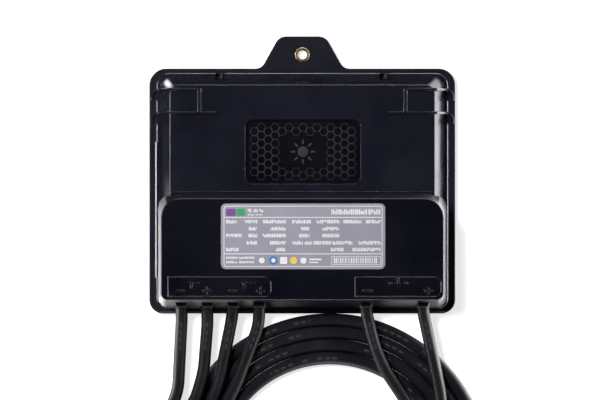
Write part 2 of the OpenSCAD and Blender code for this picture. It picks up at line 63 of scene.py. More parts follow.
# ---------------------------------------------------------------- materials
class Mat:
    """Small builder for node materials."""
    def __init__(self, name, base, rough, metallic=0.0, spec=0.5):
        self.material = bpy.data.materials.new(name)
        self.material.use_nodes = True
        self.tree = self.material.node_tree
        shader = next(n for n in self.tree.nodes if n.type == "BSDF_PRINCIPLED")
        self.inputs = shader.inputs
        self.inputs["Base Color"].default_value = (*base, 1)
        self.inputs["Roughness"].default_value = rough
        self.inputs["Metallic"].default_value = metallic
        self.inputs["Specular IOR Level"].default_value = spec
        self.last_bump = None
        self.coords = self.node("ShaderNodeTexCoord").outputs["Object"]

    def node(self, kind, **settings):
        n = self.tree.nodes.new(kind)
        for key, value in settings.items():
            setattr(n, key, value)
        return n

    def link(self, a, b):
        self.tree.links.new(a, b)

    def noise(self, scale, detail=3.0, rough=0.5, stretch=None, coords=None):
        n = self.node("ShaderNodeTexNoise")
        n.inputs["Scale"].default_value = scale
        n.inputs["Detail"].default_value = detail
        n.inputs["Roughness"].default_value = rough
        source = coords if coords is not None else self.coords
        if stretch:
            mapping = self.node("ShaderNodeMapping")
            mapping.inputs["Scale"].default_value = stretch
            self.link(source, mapping.inputs["Vector"])
            source = mapping.outputs["Vector"]
        self.link(source, n.inputs["Vector"])
        return n.outputs["Fac"]

    def ramp(self, value, across, to=(0, 1)):
        """Maps the range `across` of a value onto the range `to`."""
        n = self.node("ShaderNodeMapRange")
        n.inputs["From Min"].default_value, n.inputs["From Max"].default_value = across
        n.inputs["To Min"].default_value, n.inputs["To Max"].default_value = to
        self.link(value, n.inputs["Value"])
        return n.outputs["Result"]

    def mix(self, fac, colour0, colour1):
        n = self.node("ShaderNodeMix", data_type="RGBA")
        self.link(fac, n.inputs[0])
        for i, colour in ((6, colour0), (7, colour1)):
            if isinstance(colour, tuple):
                n.inputs[i].default_value = (*colour, 1)
            else:
                self.link(colour, n.inputs[i])
        return n.outputs[2]

    def math(self, operation, *values):
        n = self.node("ShaderNodeMath", operation=operation)
        for i, value in enumerate(values):
            if isinstance(value, (int, float)):
                n.inputs[i].default_value = value
            else:
                self.link(value, n.inputs[i])
        return n.outputs[0]

    def split(self, vector):
        n = self.node("ShaderNodeSeparateXYZ")
        self.link(vector, n.inputs["Vector"])
        return n.outputs

    def colour(self, out):
        self.link(out, self.inputs["Base Color"])

    def roughness(self, out):
        self.link(out, self.inputs["Roughness"])

    def bump(self, height, strength, distance):
        n = self.node("ShaderNodeBump")
        n.inputs["Strength"].default_value = strength
        n.inputs["Distance"].default_value = distance
        self.link(height, n.inputs["Height"])
        if self.last_bump:
            self.link(self.last_bump, n.inputs["Normal"])
        self.last_bump = n.outputs["Normal"]
        self.link(self.last_bump, self.inputs["Normal"])


def scaled(colour, gain, lift=0.0):
    return tuple(min(1, c * gain + lift) for c in colour)


def plastic(name, base, rough=0.42, grain=2600, grain_depth=0.16, wear=0.5, spec=0.5, dust=0.10,
            sheen=0.0, ends=None):
    """Moulded plastic. `ends` holds two X ranges in metres that keep the sheen to the ends, where
    it is a painted reflection of the bright floor.
    """
    m = Mat(name, base, rough, spec=spec)
    # sheen pales surfaces seen along them; kept to the ends of the box walls, it is a painted
    # reflection of the floor
    m.inputs["Sheen Weight"].default_value = sheen
    m.inputs["Sheen Roughness"].default_value = 0.3
    # X ranges keep the sheen to the part's ends: painted reflection of the bright floor beside
    # them
    if ends:
        middle_sheen = 0.02
        x = m.split(m.node("ShaderNodeNewGeometry").outputs["Position"])["X"]
        at_left = m.ramp(x, across=ends[:2], to=(sheen, middle_sheen))
        at_right = m.ramp(x, across=ends[2:], to=(middle_sheen, sheen))
        m.link(m.math("MAXIMUM", at_left, at_right), m.inputs["Sheen Weight"])
    m.inputs["Specular Tint"].default_value = (0.82, 0.82, 1.0, 1)
    patches = m.noise(scale=38, detail=4)
    fine = m.noise(scale=grain, detail=2, rough=0.6)
    specks = m.noise(scale=420)
    c = m.mix(m.ramp(patches, across=(0.35, 0.68)), base, scaled(base, gain=1.3, lift=0.002))
    c = m.mix(m.ramp(specks, across=(0.62, 0.8), to=(0, dust)), c,
              scaled(base, gain=1.2, lift=0.03))
    # paler on convex edges
    pointed = m.node("ShaderNodeNewGeometry").outputs["Pointiness"]
    edges = m.ramp(pointed, across=(0.52, 0.66))
    c = m.mix(m.ramp(edges, across=(0, 1), to=(0, wear * 0.35)), c,
              scaled(base, gain=2.2, lift=0.03))
    m.colour(c)
    m.roughness(m.ramp(m.noise(scale=70, detail=4), across=(0.3, 0.7),
                       to=(rough - 0.05, rough + 0.06)))
    m.bump(fine, strength=grain_depth, distance=0.00006)
    m.bump(specks, strength=0.05, distance=0.0001)
    return m.material


def rubber(name, base, rough=0.55, grain=1500, grain_depth=0.2):
    m = Mat(name, base, rough, spec=0.4)
    fine = m.noise(scale=grain, rough=0.6)
    patches = m.noise(scale=60)
    lighter = tuple(c * 1.5 + 0.004 for c in base)
    m.colour(m.mix(m.ramp(patches, across=(0.3, 0.7)), base, lighter))
    m.roughness(m.ramp(patches, across=(0.3, 0.7), to=(rough - 0.06, rough + 0.08)))
    m.bump(fine, strength=grain_depth, distance=0.00008)
    return m.material


def metal(name, base, rough=0.28, brushed=(1, 1, 1), tint=None):
    """Metal with its grain stretched by `brushed` and blotches of `tint`."""
    m = Mat(name, base, rough, metallic=1.0)
    grain = m.noise(scale=900, rough=0.6, stretch=brushed)
    blotches = m.noise(scale=160)
    m.colour(m.mix(m.ramp(blotches, across=(0.35, 0.7), to=(0, 0.6)), base,
                   tint or tuple(c * 0.72 for c in base)))
    m.roughness(m.ramp(grain, across=(0.3, 0.7), to=(rough - 0.07, rough + 0.1)))
    m.bump(grain, strength=0.12, distance=0.00005)
    return m.material


def board_material():
    m = Mat("solder_mask", (0.01, 0.12, 0.045), rough=0.3)
    brick = m.node("ShaderNodeTexBrick")
    for key, value in (("Scale", 90), ("Color1", (0.01, 0.12, 0.045, 1)),
                       ("Color2", (0.012, 0.16, 0.06, 1)), ("Mortar", (0.02, 0.22, 0.09, 1)),
                       ("Mortar Size", 0.03)):
        brick.inputs[key].default_value = value
    m.link(m.coords, brick.inputs["Vector"])
    m.colour(brick.outputs["Color"])
    m.bump(brick.outputs["Fac"], strength=0.3, distance=0.0001)
    m.roughness(m.ramp(m.noise(scale=200), across=(0.3, 0.7), to=(0.24, 0.4)))
    return m.material


def cable_material():
    """Extruded sheath: fine lengthwise lines, patchy sheen and faint dashes along one side.
    u runs along the cable in metres, v runs round it."""
    dashes_per_metre = 260
    lit_above = 0.42            # share of dashes left out
    dash_from, dash_to = 0.18, 0.82
    band_v, band_half = 0.25, 0.028
    group_rate, group_cut = 95, -0.15
    dash_strength = 0.20

    m = Mat("cable_sheath", (0.0108, 0.0108, 0.0138), rough=0.36)
    uv = m.node("ShaderNodeUVMap", uv_map="along").outputs["UV"]
    along = m.split(uv)
    patches = m.noise(scale=45, detail=4)
    lines = m.noise(scale=1, detail=2, stretch=(25, 90, 1), coords=uv)
    fine = m.noise(scale=1900, detail=2, rough=0.6)
    u, v = along["X"], along["Y"]
    cell = m.math("FLOOR", m.math("MULTIPLY", u, dashes_per_metre))
    in_cell = m.math("FRACT", m.math("MULTIPLY", u, dashes_per_metre))
    chance = m.node("ShaderNodeTexWhiteNoise", noise_dimensions="1D")
    m.link(cell, chance.inputs["W"])
    lit = m.math("GREATER_THAN", chance.outputs["Value"], lit_above)
    dash = m.math("MULTIPLY", m.math("GREATER_THAN", in_cell, dash_from),
                  m.math("LESS_THAN", in_cell, dash_to))
    off_band = m.math("ABSOLUTE", m.math("SUBTRACT", v, band_v))
    band = m.math("LESS_THAN", off_band, band_half)
    wave = m.math("SINE", m.math("MULTIPLY", u, group_rate))
    group = m.math("GREATER_THAN", wave, group_cut)
    mask = m.math("MULTIPLY", m.math("MULTIPLY", lit, dash), m.math("MULTIPLY", band, group))
    mask = m.math("MULTIPLY", mask, dash_strength)
    c = m.mix(m.ramp(patches, across=(0.3, 0.7)),
              (0.0075, 0.0075, 0.0100), (0.0150, 0.0150, 0.0190))
    m.colour(m.mix(mask, c, (0.16, 0.16, 0.18)))
    m.roughness(m.ramp(patches, across=(0.3, 0.7), to=(0.42, 0.54)))
    m.bump(lines, strength=0.25, distance=0.00008)
    m.bump(fine, strength=0.15, distance=0.00005)
    return m.material


def label_material():
    m = Mat("label_foil", (0.31, 0.30, 0.37), rough=0.38)
    patches = m.noise(scale=60)
    fine = m.noise(scale=2400, detail=2)
    m.colour(m.mix(m.ramp(patches, across=(0.3, 0.7)),
                   (0.295, 0.285, 0.350), (0.325, 0.315, 0.385)))
    m.roughness(m.ramp(fine, across=(0.3, 0.7), to=(0.34, 0.46)))
    m.bump(fine, strength=0.08, distance=0.00004)
    return m.material


def ink(name, base):
    m = Mat(name, base, rough=0.5)
    grain = m.noise(scale=1500)
    m.colour(m.mix(m.ramp(grain, across=(0.4, 0.75), to=(0, 0.35)), base,
                   tuple(c * 0.8 for c in base)))
    m.roughness(m.ramp(grain, across=(0.3, 0.7), to=(0.44, 0.56)))
    m.bump(grain, strength=0.1, distance=0.00003)
    return m.material


MATS = {
    "housing": plastic("moulded_housing", (0.0070, 0.0074, 0.0132), rough=0.23, grain=3000,
                       grain_depth=0.10, spec=0.45, dust=0.05),
    "box_face": plastic("moulded_cover_box", (0.0030, 0.0032, 0.0064), rough=0.29, grain=3000,
                        grain_depth=0.12, spec=0.40, dust=0.05, sheen=0.06),
    # box walls: strong sheen kept to their ends, a painted reflection of the bright floor
    "box_wall": plastic("box_wall_painted_floor_reflection", (0.0044, 0.0047, 0.0090), rough=0.33, grain=3000,
                        grain_depth=0.12, spec=0.45, dust=0.05, sheen=1.3,
                        ends=(-0.036, -0.029, 0.060, 0.066)),
    "flange": plastic("moulded_flange", (0.0100, 0.0104, 0.0160), rough=0.34,
                      grain_depth=0.2, wear=0.6, dust=0.08),
    # dark recess finish, also put on the box's +Y wall as painted shade
    "recess": plastic("recess_floor", (0.0022, 0.0023, 0.0042), rough=0.5, grain=1800,
                      grain_depth=0.35, wear=0.2, spec=0.3, dust=0.03),
    "hexline": plastic("hex_lines", (0.030, 0.031, 0.040), rough=0.38, grain=3000,
                       grain_depth=0.12, wear=0.9),
    "boot": rubber("cable_boot_rubber", (0.009, 0.009, 0.011), rough=0.5),
    "connector": plastic("connector_plastic", (0.012, 0.012, 0.0145), rough=0.44, grain=2200,
                         grain_depth=0.25, wear=0.6, spec=0.45),
    "inner": plastic("inner_plastic", (0.035, 0.036, 0.042), rough=0.5),
    "seal": rubber("seal_rubber", (0.11, 0.12, 0.14), rough=0.6),
    "gasket": rubber("gasket_rubber", (0.02, 0.05, 0.075), rough=0.6),
    "pad": rubber("gap_pad", (0.30, 0.45, 0.56), rough=0.7, grain=900, grain_depth=0.4),
    "brass": metal("turned_brass", (1.0, 0.80, 0.52), rough=0.62, brushed=(1, 1, 6),
                   tint=(0.90, 0.68, 0.42)),
    "steel": metal("screw_steel", (0.58, 0.58, 0.60), rough=0.32),
    "alu": metal("mill_aluminium", (0.74, 0.75, 0.77), rough=0.36, brushed=(0.15, 4, 1)),
    "tin": metal("tin_plate", (0.66, 0.64, 0.60), rough=0.34),
    "contact": metal("contact_plate", (0.78, 0.70, 0.55), rough=0.3),
    "copper": metal("enamelled_copper", (0.72, 0.33, 0.14), rough=0.3, brushed=(1, 1, 9)),
    "ferrite": plastic("sintered_ferrite", (0.03, 0.03, 0.034), rough=0.62, grain=1200,
                       grain_depth=0.4, wear=0.6),
    "core": plastic("powder_core_paint", (0.06, 0.10, 0.06), rough=0.45, grain=900,
                    grain_depth=0.2),
    "film": plastic("film_capacitor_box", (0.30, 0.035, 0.03), rough=0.35, grain=1400,
                    grain_depth=0.15),
    "can": plastic("capacitor_sleeve", (0.02, 0.03, 0.09), rough=0.3, grain=1400,
                   grain_depth=0.08),
    "chip": plastic("chip_epoxy", (0.012, 0.012, 0.013), rough=0.5, grain=1800,
                    grain_depth=0.3),
    "board": board_material(),
    "cable": cable_material(),
    "label": label_material(),
    "ink_white": ink("print_white", (0.80, 0.80, 0.84)),
    "ink_blue": ink("print_blue", (0.05, 0.20, 0.52)),
    "ink_green": ink("print_green", (0.05, 0.36, 0.16)),
    "ink_violet": ink("print_violet", (0.20, 0.09, 0.30)),
    "ink_yellow": ink("print_yellow", (0.80, 0.62, 0.08)),
}


# ---------------------------------------------------------------- mesh tools
X_AXIS, Y_AXIS, Z_AXIS = Vector((1, 0, 0)), Vector((0, 1, 0)), Vector((0, 0, 1))


def finish_mesh(ob, angle=32):
    """Smooth shading, with sharp edges above an angle in degrees."""
    for p in ob.data.polygons:
        p.use_smooth = True
    ob.data.set_sharp_from_angle(angle=math.radians(angle))


def mesh_object(name, me):
    ob = bpy.data.objects.new(name, me)
    scene.collection.objects.link(ob)
    return ob


def recalc_normals(me):
    bm = bmesh.new()
    bm.from_mesh(me)
    bmesh.ops.recalc_face_normals(bm, faces=bm.faces)
    bm.to_mesh(me)
    bm.free()


def make(name, verts, faces, mat=None, angle=32, recalc=False):
    """Mesh object from points in millimetres."""
    me = bpy.data.meshes.new(name)
    me.from_pydata([(v[0] * MM, v[1] * MM, v[2] * MM) for v in verts], [], faces)
    if recalc:
        recalc_normals(me)
    me.update()
    ob = mesh_object(name, me)
    if mat is not None:
        me.materials.append(MATS[mat])
    finish_mesh(ob, angle)
    return ob


def deliver(ob, replaces=None, body="root"):
    """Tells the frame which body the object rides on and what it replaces."""
    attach(ob, body)
    if replaces:
        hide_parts(replaces)


def boolean(ob, cutters, op="DIFFERENCE", angle=32):
    """Applies the cutters one after another and removes them."""
    for cutter in cutters:
        md = ob.modifiers.new("b", "BOOLEAN")
        md.operation = op
        md.solver = "EXACT"
        md.object = cutter
    bpy.context.view_layer.update()
    dg = bpy.context.evaluated_depsgraph_get()
    me = bpy.data.meshes.new_from_object(ob.evaluated_get(dg), depsgraph=dg)
    ob.modifiers.clear()
    ob.data = me
    finish_mesh(ob, angle)
    for cutter in cutters:
        bpy.data.objects.remove(cutter, do_unlink=True)


def join(name, parts, angle=32):
    """One object from many, with their materials merged."""
    bm = bmesh.new()
    mats = []
    for part in parts:
        start = len(bm.faces)
        bm.from_mesh(part.data)
        bm.faces.ensure_lookup_table()
        own = part.data.materials
        for mat in own:
            if mat not in mats:
                mats.append(mat)
        for i in range(start, len(bm.faces)):
            face = bm.faces[i]
            face.material_index = mats.index(own[min(face.material_index, len(own) - 1)])
    me = bpy.data.meshes.new(name)
    bm.to_mesh(me)
    bm.free()
    for mat in mats:
        me.materials.append(mat)
    ob = mesh_object(name, me)
    for part in parts:
        bpy.data.objects.remove(part, do_unlink=True)
    finish_mesh(ob, angle)
    return ob


def arc(cx, cy, r, a0, a1, n):
    """n + 1 points from angle a0 to a1 in degrees."""
    angles = [math.radians(a0 + (a1 - a0) * i / n) for i in range(n + 1)]
    return [(cx + r * math.cos(a), cy + r * math.sin(a)) for a in angles]


def rrect(bounds, inset=0.0, n=10):
    """Rounded rectangle, counter-clockwise.
    Bounds are x0, x1, y0, y1, corner radius at the +Y side, corner radius at the -Y side."""
    x0, x1, y0, y1, rt, rb = bounds
    x0, x1, y0, y1 = x0 + inset, x1 - inset, y0 + inset, y1 - inset
    rt, rb = max(0.15, rt - inset), max(0.15, rb - inset)
    return (arc(x1 - rt, y1 - rt, rt, 0, 90, n) + arc(x0 + rt, y1 - rt, rt, 90, 180, n)
            + arc(x0 + rb, y0 + rb, rb, 180, 270, n) + arc(x1 - rb, y0 + rb, rb, 270, 360, n))


def at_z(pts, z):
    return [(p[0], p[1], z) for p in pts]


def skin(rings, caps=True):
    """Vertices and faces of a closed-section solid through rings of equal count."""
    n = len(rings[0])
    v = [p for ring in rings for p in ring]
    f = []
    for i in range(len(rings) - 1):
        for j in range(n):
            a, b = i * n + j, i * n + (j + 1) % n
            f.append((a, b, b + n, a + n))
    if caps:
        f.append(tuple(reversed(range(n))))
        f.append(tuple(range((len(rings) - 1) * n, len(rings) * n)))
    return v, f


def stacked(bounds, stations, n=10):
    """Solid of rounded rectangles; stations are (inset, z)."""
    return skin([at_z(rrect(bounds, inset, n), z) for inset, z in stations])


def tapered(low, z0, high, z1, roll, seg=7):
    """Tapered rounded box with a rolled top edge of radius `roll`."""
    def bounds_at(z):
        t = (z - z0) / height
        return tuple(a + (b - a) * t for a, b in zip(low, high))
    spread, height = abs(high[0] - low[0]), z1 - z0
    slope = math.atan2(height, spread)
    trim = roll * math.tan(slope / 2)
    rings = [at_z(rrect(low), z0)]
    roll_start = z1 - trim * math.sin(slope)
    for k in (0.33, 0.66):
        z = z0 + (roll_start - z0) * k
        rings.append(at_z(rrect(bounds_at(z)), z))
    for i in range(seg + 1):
        a = slope * (1 - i / seg)        # direction of travel above horizontal
        u = spread + trim - roll * math.sin(a)
        z = z1 - roll + roll * math.cos(a)
        wall_u = spread * (z - z0) / height      # where the wall would be at this height
        rings.append(at_z(rrect(bounds_at(z), u - wall_u), z))
    return skin(rings)


def offset_poly(pts, d):
    """Moves a closed counter-clockwise outline inwards by d."""
    n = len(pts)
    out = []
    for i in range(n):
        before, p, after = Vector(pts[i - 1]), Vector(pts[i]), Vector(pts[(i + 1) % n])
        a, b = (p - before), (after - p)
        if a.length < 1e-9 or b.length < 1e-9:
            a = b = (after - before)
        a, b = a.normalized(), b.normalized()
        na, nb = Vector((-a.y, a.x)), Vector((-b.y, b.x))
        mitre = (na + nb) / max(0.3, (1 + na.dot(nb)))
        out.append((p.x + mitre.x * d, p.y + mitre.y * d))
    return out


def band(outer, inner, z0, z1, bottom=True):
    """Square-edged strip between two outlines of equal point count."""
    n = len(outer)
    v = at_z(outer, z0) + at_z(outer, z1) + at_z(inner, z0) + at_z(inner, z1)
    f = []
    for j in range(n):
        k = (j + 1) % n
        f += [(j, k, n + k, n + j), (2 * n + k, 2 * n + j, 3 * n + j, 3 * n + k),
              (n + j, n + k, 3 * n + k, 3 * n + j)]
        if bottom:
            f.append((k, j, 2 * n + j, 2 * n + k))
    return v, f


BOX_FACES = [(3, 2, 1, 0), (4, 5, 6, 7), (0, 1, 5, 4), (1, 2, 6, 5), (2, 3, 7, 6), (3, 0, 4, 7)]


def box_points(x0, x1, y0, y1, z0, z1):
    return [(x, y, z) for z in (z0, z1) for x, y in ((x0, y0), (x1, y0), (x1, y1), (x0, y1))]


def soft_box(size, bevel, place=tuple):
    """Block with bevelled edges; size is x0, x1, y0, y1, z0, z1."""
    bm = bmesh.new()
    vs = [bm.verts.new(p) for p in box_points(*size)]
    for face in BOX_FACES:
        bm.faces.new([vs[i] for i in face])
    bmesh.ops.bevel(bm, geom=list(bm.edges), offset=bevel, segments=2, affect="EDGES",
                    profile=0.5)
    bm.verts.index_update()
    v = [place(tuple(w.co)) for w in bm.verts]
    f = [tuple(w.index for w in face.verts) for face in bm.faces]
    bm.free()
    return v, f


def turned_rings(profile, n, place=tuple, shape=None):
    """Rings round +X from (x, radius) points, then placed. `shape` may change the radius."""
    rings = []
    for x, r in profile:
        ring = []
        for j in range(n):
            a = 2 * math.pi * j / n
            rr = r if shape is None else shape(x, r, a)
            ring.append(place((x, rr * math.cos(a), rr * math.sin(a))))
        rings.append(ring)
    return rings


def lathe(profile, n, place=tuple, shape=None):
    """Turned ring: a closed profile of (x, radius), outside then back through the bore."""
    v = [p for ring in turned_rings(profile, n, place, shape) for p in ring]
    m = len(profile)
    f = []
    for i in range(m):
        for j in range(n):
            k, up = (j + 1) % n, (i + 1) % m
            f.append((i * n + j, i * n + k, up * n + k, up * n + j))
    return v, f


def upright(x, y, z=0.0):
    """Places a turned part with its axis along +Z."""
    return lambda p: (x + p[1], y + p[2], z + p[0])


def sweep(path, sides, ups, section):
    """Closed sweep of a section of (side, up) points."""
    return skin([[tuple(Vector(p) + Vector(s) * q[0] + Vector(u) * q[1]) for q in section]
                 for p, s, u in zip(path, sides, ups)])


def rounded_section(w, h, base, r=0.35, seg=3):
    """(side, up) points with a rounded crown, from `base` below the surface to h above it."""
    pts = [(-w / 2, -base), (-w / 2, h - r)]
    for i in range(1, seg + 1):
        a = math.pi / 2 * i / seg
        pts.append((-w / 2 + r * (1 - math.cos(a)), h - r + r * math.sin(a)))
    for i in range(seg + 1):
        a = math.pi / 2 * (1 - i / seg)
        pts.append((w / 2 - r * (1 - math.cos(a)), h - r + r * math.sin(a)))
    pts.append((w / 2, -base))
    return pts


def smooth(t):
    t = max(0.0, min(1.0, t))
    return t * t * (3 - 2 * t)


# ---------------------------------------------------------------- front cover
# bounds as in rrect; the upper body (+Y) is low, the box (-Y) is tall
FOOT = (-74.3, 74.3, -60.1, 60.1, 6.5, 5.5)
UPPER_LOW, UPPER_HIGH = (-72.7, 72.7, -40.0, 59.0, 6.0, 5.0), (-67.2, 67.2, -40.0, 53.8, 5.0, 4.0)
BOX_LOW, BOX_HIGH = (-73.5, 73.5, -59.5, 1.6, 11.0, 5.2), (-71.6, 71.6, -55.2, -3.8, 10.0, 3.6)
FOOT_Z, UPPER_Z, BOX_Z = 4.0, 17.0, 30.0
WALL = 2.2
EXITS = [-61.4, -48.3, -35.3, -22.0, 32.2, 61.3]      # X of each cable
CABLE_Z = 9.5
NOTCH_X, NOTCH_HALF = 41.8, 2.4
RECESS_X, RECESS_Y = 0.3, 19.9
RECESS_HALF_W, RECESS_HALF_H = 29.2, 16.2
RECESS_Z = UPPER_Z - 1.6
PLATE = (-41.2, 41.9, -39.6, -6.4, 2.5, 2.5)
PLATE_POCKET = (-41.45, 42.15, -39.85, -6.15, 2.8, 2.8)


def cavity(name, low, high, top):
    def inside(b):
        return (b[0] + WALL, b[1] - WALL, b[2] + WALL, b[3] - WALL, b[4], b[5])
    rings = [at_z(rrect(inside(low)), FOOT_Z - 1), at_z(rrect(inside(high)), top - WALL)]
    return make(name, *skin(rings))


def recess_cutter():
    bounds = (RECESS_X - RECESS_HALF_W, RECESS_X + RECESS_HALF_W,
              RECESS_Y - RECESS_HALF_H, RECESS_Y + RECESS_HALF_H, 4.0, 4.0)
    roll, draft = 0.42, 0.05
    stations = [(0.35, RECESS_Z), (0.12, RECESS_Z + 0.08), (0.0, RECESS_Z + 0.35),
                (-draft, UPPER_Z - roll)]
    for i in range(1, 6):
        a = math.pi / 2 * i / 5
        stations.append((-draft - roll * (1 - math.cos(a)), UPPER_Z - roll + roll * math.sin(a)))
    stations.append((-draft - roll, UPPER_Z + 1))
    return make("recess_cut", *stacked(bounds, stations))


def cover_finish(face):
    """Material index of one cover face: 0 housing, 1 box face, 2 recess, also painted shade on
    the box's +Y wall, 3 box wall, whose sheen is a painted reflection.
    """
    c, n = face.center / MM, face.normal
    outer_side = abs(c.x) > 69.5 or c.y < -52
    # the box's +Y wall takes the dark recess material: painted shade
    if c.z > 17.2 and n.y > 0.8:
        return 2
    if (5.3 < c.z < 29.4 and abs(n.z) < 0.32 and c.y < 2 and outer_side
            and n.x * c.x + n.y * c.y > 0):
        return 3
    if c.z > 17.3 or (c.y < -3 and abs(c.x) < 74 and c.z > 5.2):
        return 1
    if (abs(c.x - RECESS_X) < RECESS_HALF_W + 0.1 and abs(c.y - RECESS_Y) < RECESS_HALF_H + 0.1
            and 14 < c.z < 16.55):
        return 2
    return 0


def front_cover():
    foot_edge = [(0, FOOT_Z), (0, 4.34), (0.06, 4.44), (0.62, 4.93), (0.76, 5.0)]
    cover = make("front_cover", *stacked(FOOT, foot_edge), "housing")
    boolean(cover, [
        make("upper", *tapered(UPPER_LOW, FOOT_Z + 0.5, UPPER_HIGH, UPPER_Z, roll=1.2)),
        make("box", *tapered(BOX_LOW, FOOT_Z + 0.5, BOX_HIGH, BOX_Z, roll=0.9))], "UNION")
    # upright block on the -Y wall above each cable
    block_edge = [(0, 8.0), (0, 21.2), (0.1, 21.62), (0.34, 21.9), (0.75, 22.0)]
    boolean(cover, [make("block", *stacked((x - 3.0, x + 3.0, -58.9, -54.0, 0.3, 1.3),
                                           block_edge, 6), recalc=True)
                    for x in EXITS], "UNION")
    boolean(cover, [cavity("inside_upper", UPPER_LOW, UPPER_HIGH, UPPER_Z),
                    cavity("inside_box", BOX_LOW, BOX_HIGH, BOX_Z)])
    # material behind the recess and the notches, added before they are cut
    pads = [(-31, 31, 1.5, 38.2, 13.0, 16.0), (38.2, 45.4, 54.2, 56.6, 4.4, 9.8),
            (-45.4, -38.2, 54.2, 56.6, 4.4, 9.8)]
    boolean(cover, [make("pad", box_points(*size), BOX_FACES) for size in pads], "UNION")
    cuts = [recess_cutter()]
    for s in (-1, 1):
        notch = (s * NOTCH_X - NOTCH_HALF, s * NOTCH_X + NOTCH_HALF, 56.4, 63.0, 0.4, 0.5)
        flare = [(0, 3.5), (0, 9.0), (-0.12, 12.0), (-0.4, 18.5)]
        cuts.append(make("notch", *stacked(notch, flare, 3)))
    for x in EXITS:
        rings = turned_rings([(0, 4.0), (12, 4.0)], 32,
                             lambda p: (x + p[1], -50 - p[0], CABLE_Z + p[2]))
        cuts.append(make("exit", *skin(rings), recalc=True))
    pocket_edge = [(0.1, BOX_Z - 0.3), (0, BOX_Z - 0.2), (-0.02, BOX_Z - 0.02), (-0.2, BOX_Z + 1)]
    cuts.append(make("plate_pocket", *stacked(PLATE_POCKET, pocket_edge)))
    boolean(cover, cuts, angle=30)
    me = cover.data
    me.materials.clear()
    for key in ("housing", "box_face", "recess", "box_wall"):
        me.materials.append(MATS[key])
    for face in me.polygons:
        face.material_index = cover_finish(face)
    deliver(cover, "front_shell")


front_cover()


def rib_path(x_in, y):
    """(point, surface normal, direction) along one rib at +X: over the top, down the side
    wall, then a quarter turn towards -Y on the foot."""
    n = Vector((12, 0, 5.5)).normalized()
    flat, outward = (0, 0, 1), (1, 0)
    pts = [((x_in, y, UPPER_Z), flat, outward), ((62, y, UPPER_Z), flat, outward),
           ((66.4, y, UPPER_Z), flat, outward),
           ((67.6, y, 16.5), (n.x * 0.6, 0, 1 - n.x * 0.4), outward),
           ((68.2, y, 15.2), tuple(n), outward), ((71.9, y, 7.2), tuple(n), outward),
           ((72.7, y, 5.6), (n.x * 0.7, 0, 0.8), outward),
           ((73.2, y, 5.0), (0.15, 0, 1), outward)]
    cx, r = 72.6, 4.0
    for i in range(9):
        a = math.pi / 2 * i / 8
        x = cx + r * math.sin(a)
        if x < 73.6:
            continue
        drop = min(1.0, (x - 73.4) / 1.2)
        pts.append(((x, y - r + r * math.cos(a), 5.0 - 0.95 * drop), flat,
                    (math.cos(a), -math.sin(a))))
    pts.append(((cx + r, y - r - 1.6, 4.05), flat, (0, -1)))
    return pts


def cover_ribs():
    parts = []

    def rib(path, sides, ups, section):
        parts.append(make("rib", *sweep(path, sides, ups, section), "housing", recalc=True))

    def straight_rib(path, side, section):
        rib(path, [side] * len(path), [Z_AXIS] * len(path), section)

    for s in (-1, 1):
        for x_in, y in ((51.6, 51.6), (43.1, 39.7)):
            stations = rib_path(x_in, y)
            rib([(p[0] * s, p[1], p[2]) for p, _, _ in stations],
                [Vector((-d[1] * s, d[0], 0)) for _, _, d in stations],
                [Vector((up[0] * s, up[1], up[2])).normalized() for _, up, _ in stations],
                rounded_section(w=1.45, h=1.15, base=0.7))
        # rib along Y joining the two
        straight_rib([(s * 52.3, y, UPPER_Z) for y in (52.2, 48, 44, 39.1)], X_AXIS,
                     rounded_section(w=1.9, h=1.15, base=0.7))
    # a bead along each notch's +X edge and a lug in each notch
    n = Vector((0, 12, 5.2)).normalized()
    for s in (-1, 1):
        x = s * NOTCH_X + 2.5
        rib([(x, 56.2, 11.4), (x, 56.8, 10.0), (x, 58.6, 5.9), (x, 59.2, 5.0), (x, 60.0, 4.9)],
            [-X_AXIS] * 5, [n, n, n, Vector((0, 0.4, 1)).normalized(), Z_AXIS],
            rounded_section(w=0.95, h=0.42, base=0.9, r=0.4, seg=4))
        foot = (x - 3.0, x - 0.9, 56.3, 60.0, 0.3, 0.3)
        tip = (x - 2.9, x - 1.0, 56.3, 57.2, 0.3, 0.3)
        rings = [at_z(rrect(b, 0, 3), z) for b, z in ((foot, 3.8), (foot, 4.4), (tip, 6.4))]
        parts.append(make("rib", *skin(rings), "recess", recalc=True))
    # raised land beside the foot at -X
    straight_rib([(-73.95, y, 4.0) for y in (25.0, 24.4, 10, -10, -30, -43.4, -44.0)], X_AXIS,
                 rounded_section(w=1.9, h=1.15, base=0.3, r=0.7, seg=1))
    # bead along the foot of the box's +Y wall
    straight_rib([(x, -0.62, UPPER_Z) for x in (-66.0, -65.6, -40, 0, 40, 65.6, 66.0)], Y_AXIS,
                 rounded_section(w=0.95, h=0.42, base=0.5, r=0.36, seg=4))
    deliver(join("cover_ribs", parts, 30))


cover_ribs()

# hexagon lines on the recess floor
HEX_COLUMN, HEX_ROW = 3.53, 4.1       # cell pitch along X and Y
HEX_HEIGHT, HEX_LINE = 0.7, 0.58


def hex_cells():
    """Cell centres, leaving the middle free for the emblem."""
    out = []
    for column in range(-7, 8):
        n = 5 if column % 2 else 6
        for k in range(n + 1):
            y = (k - n / 2) * HEX_ROW
            if abs(column) > 3 or abs(y) > 9.5:
                out.append((column * HEX_COLUMN, y))
    return out


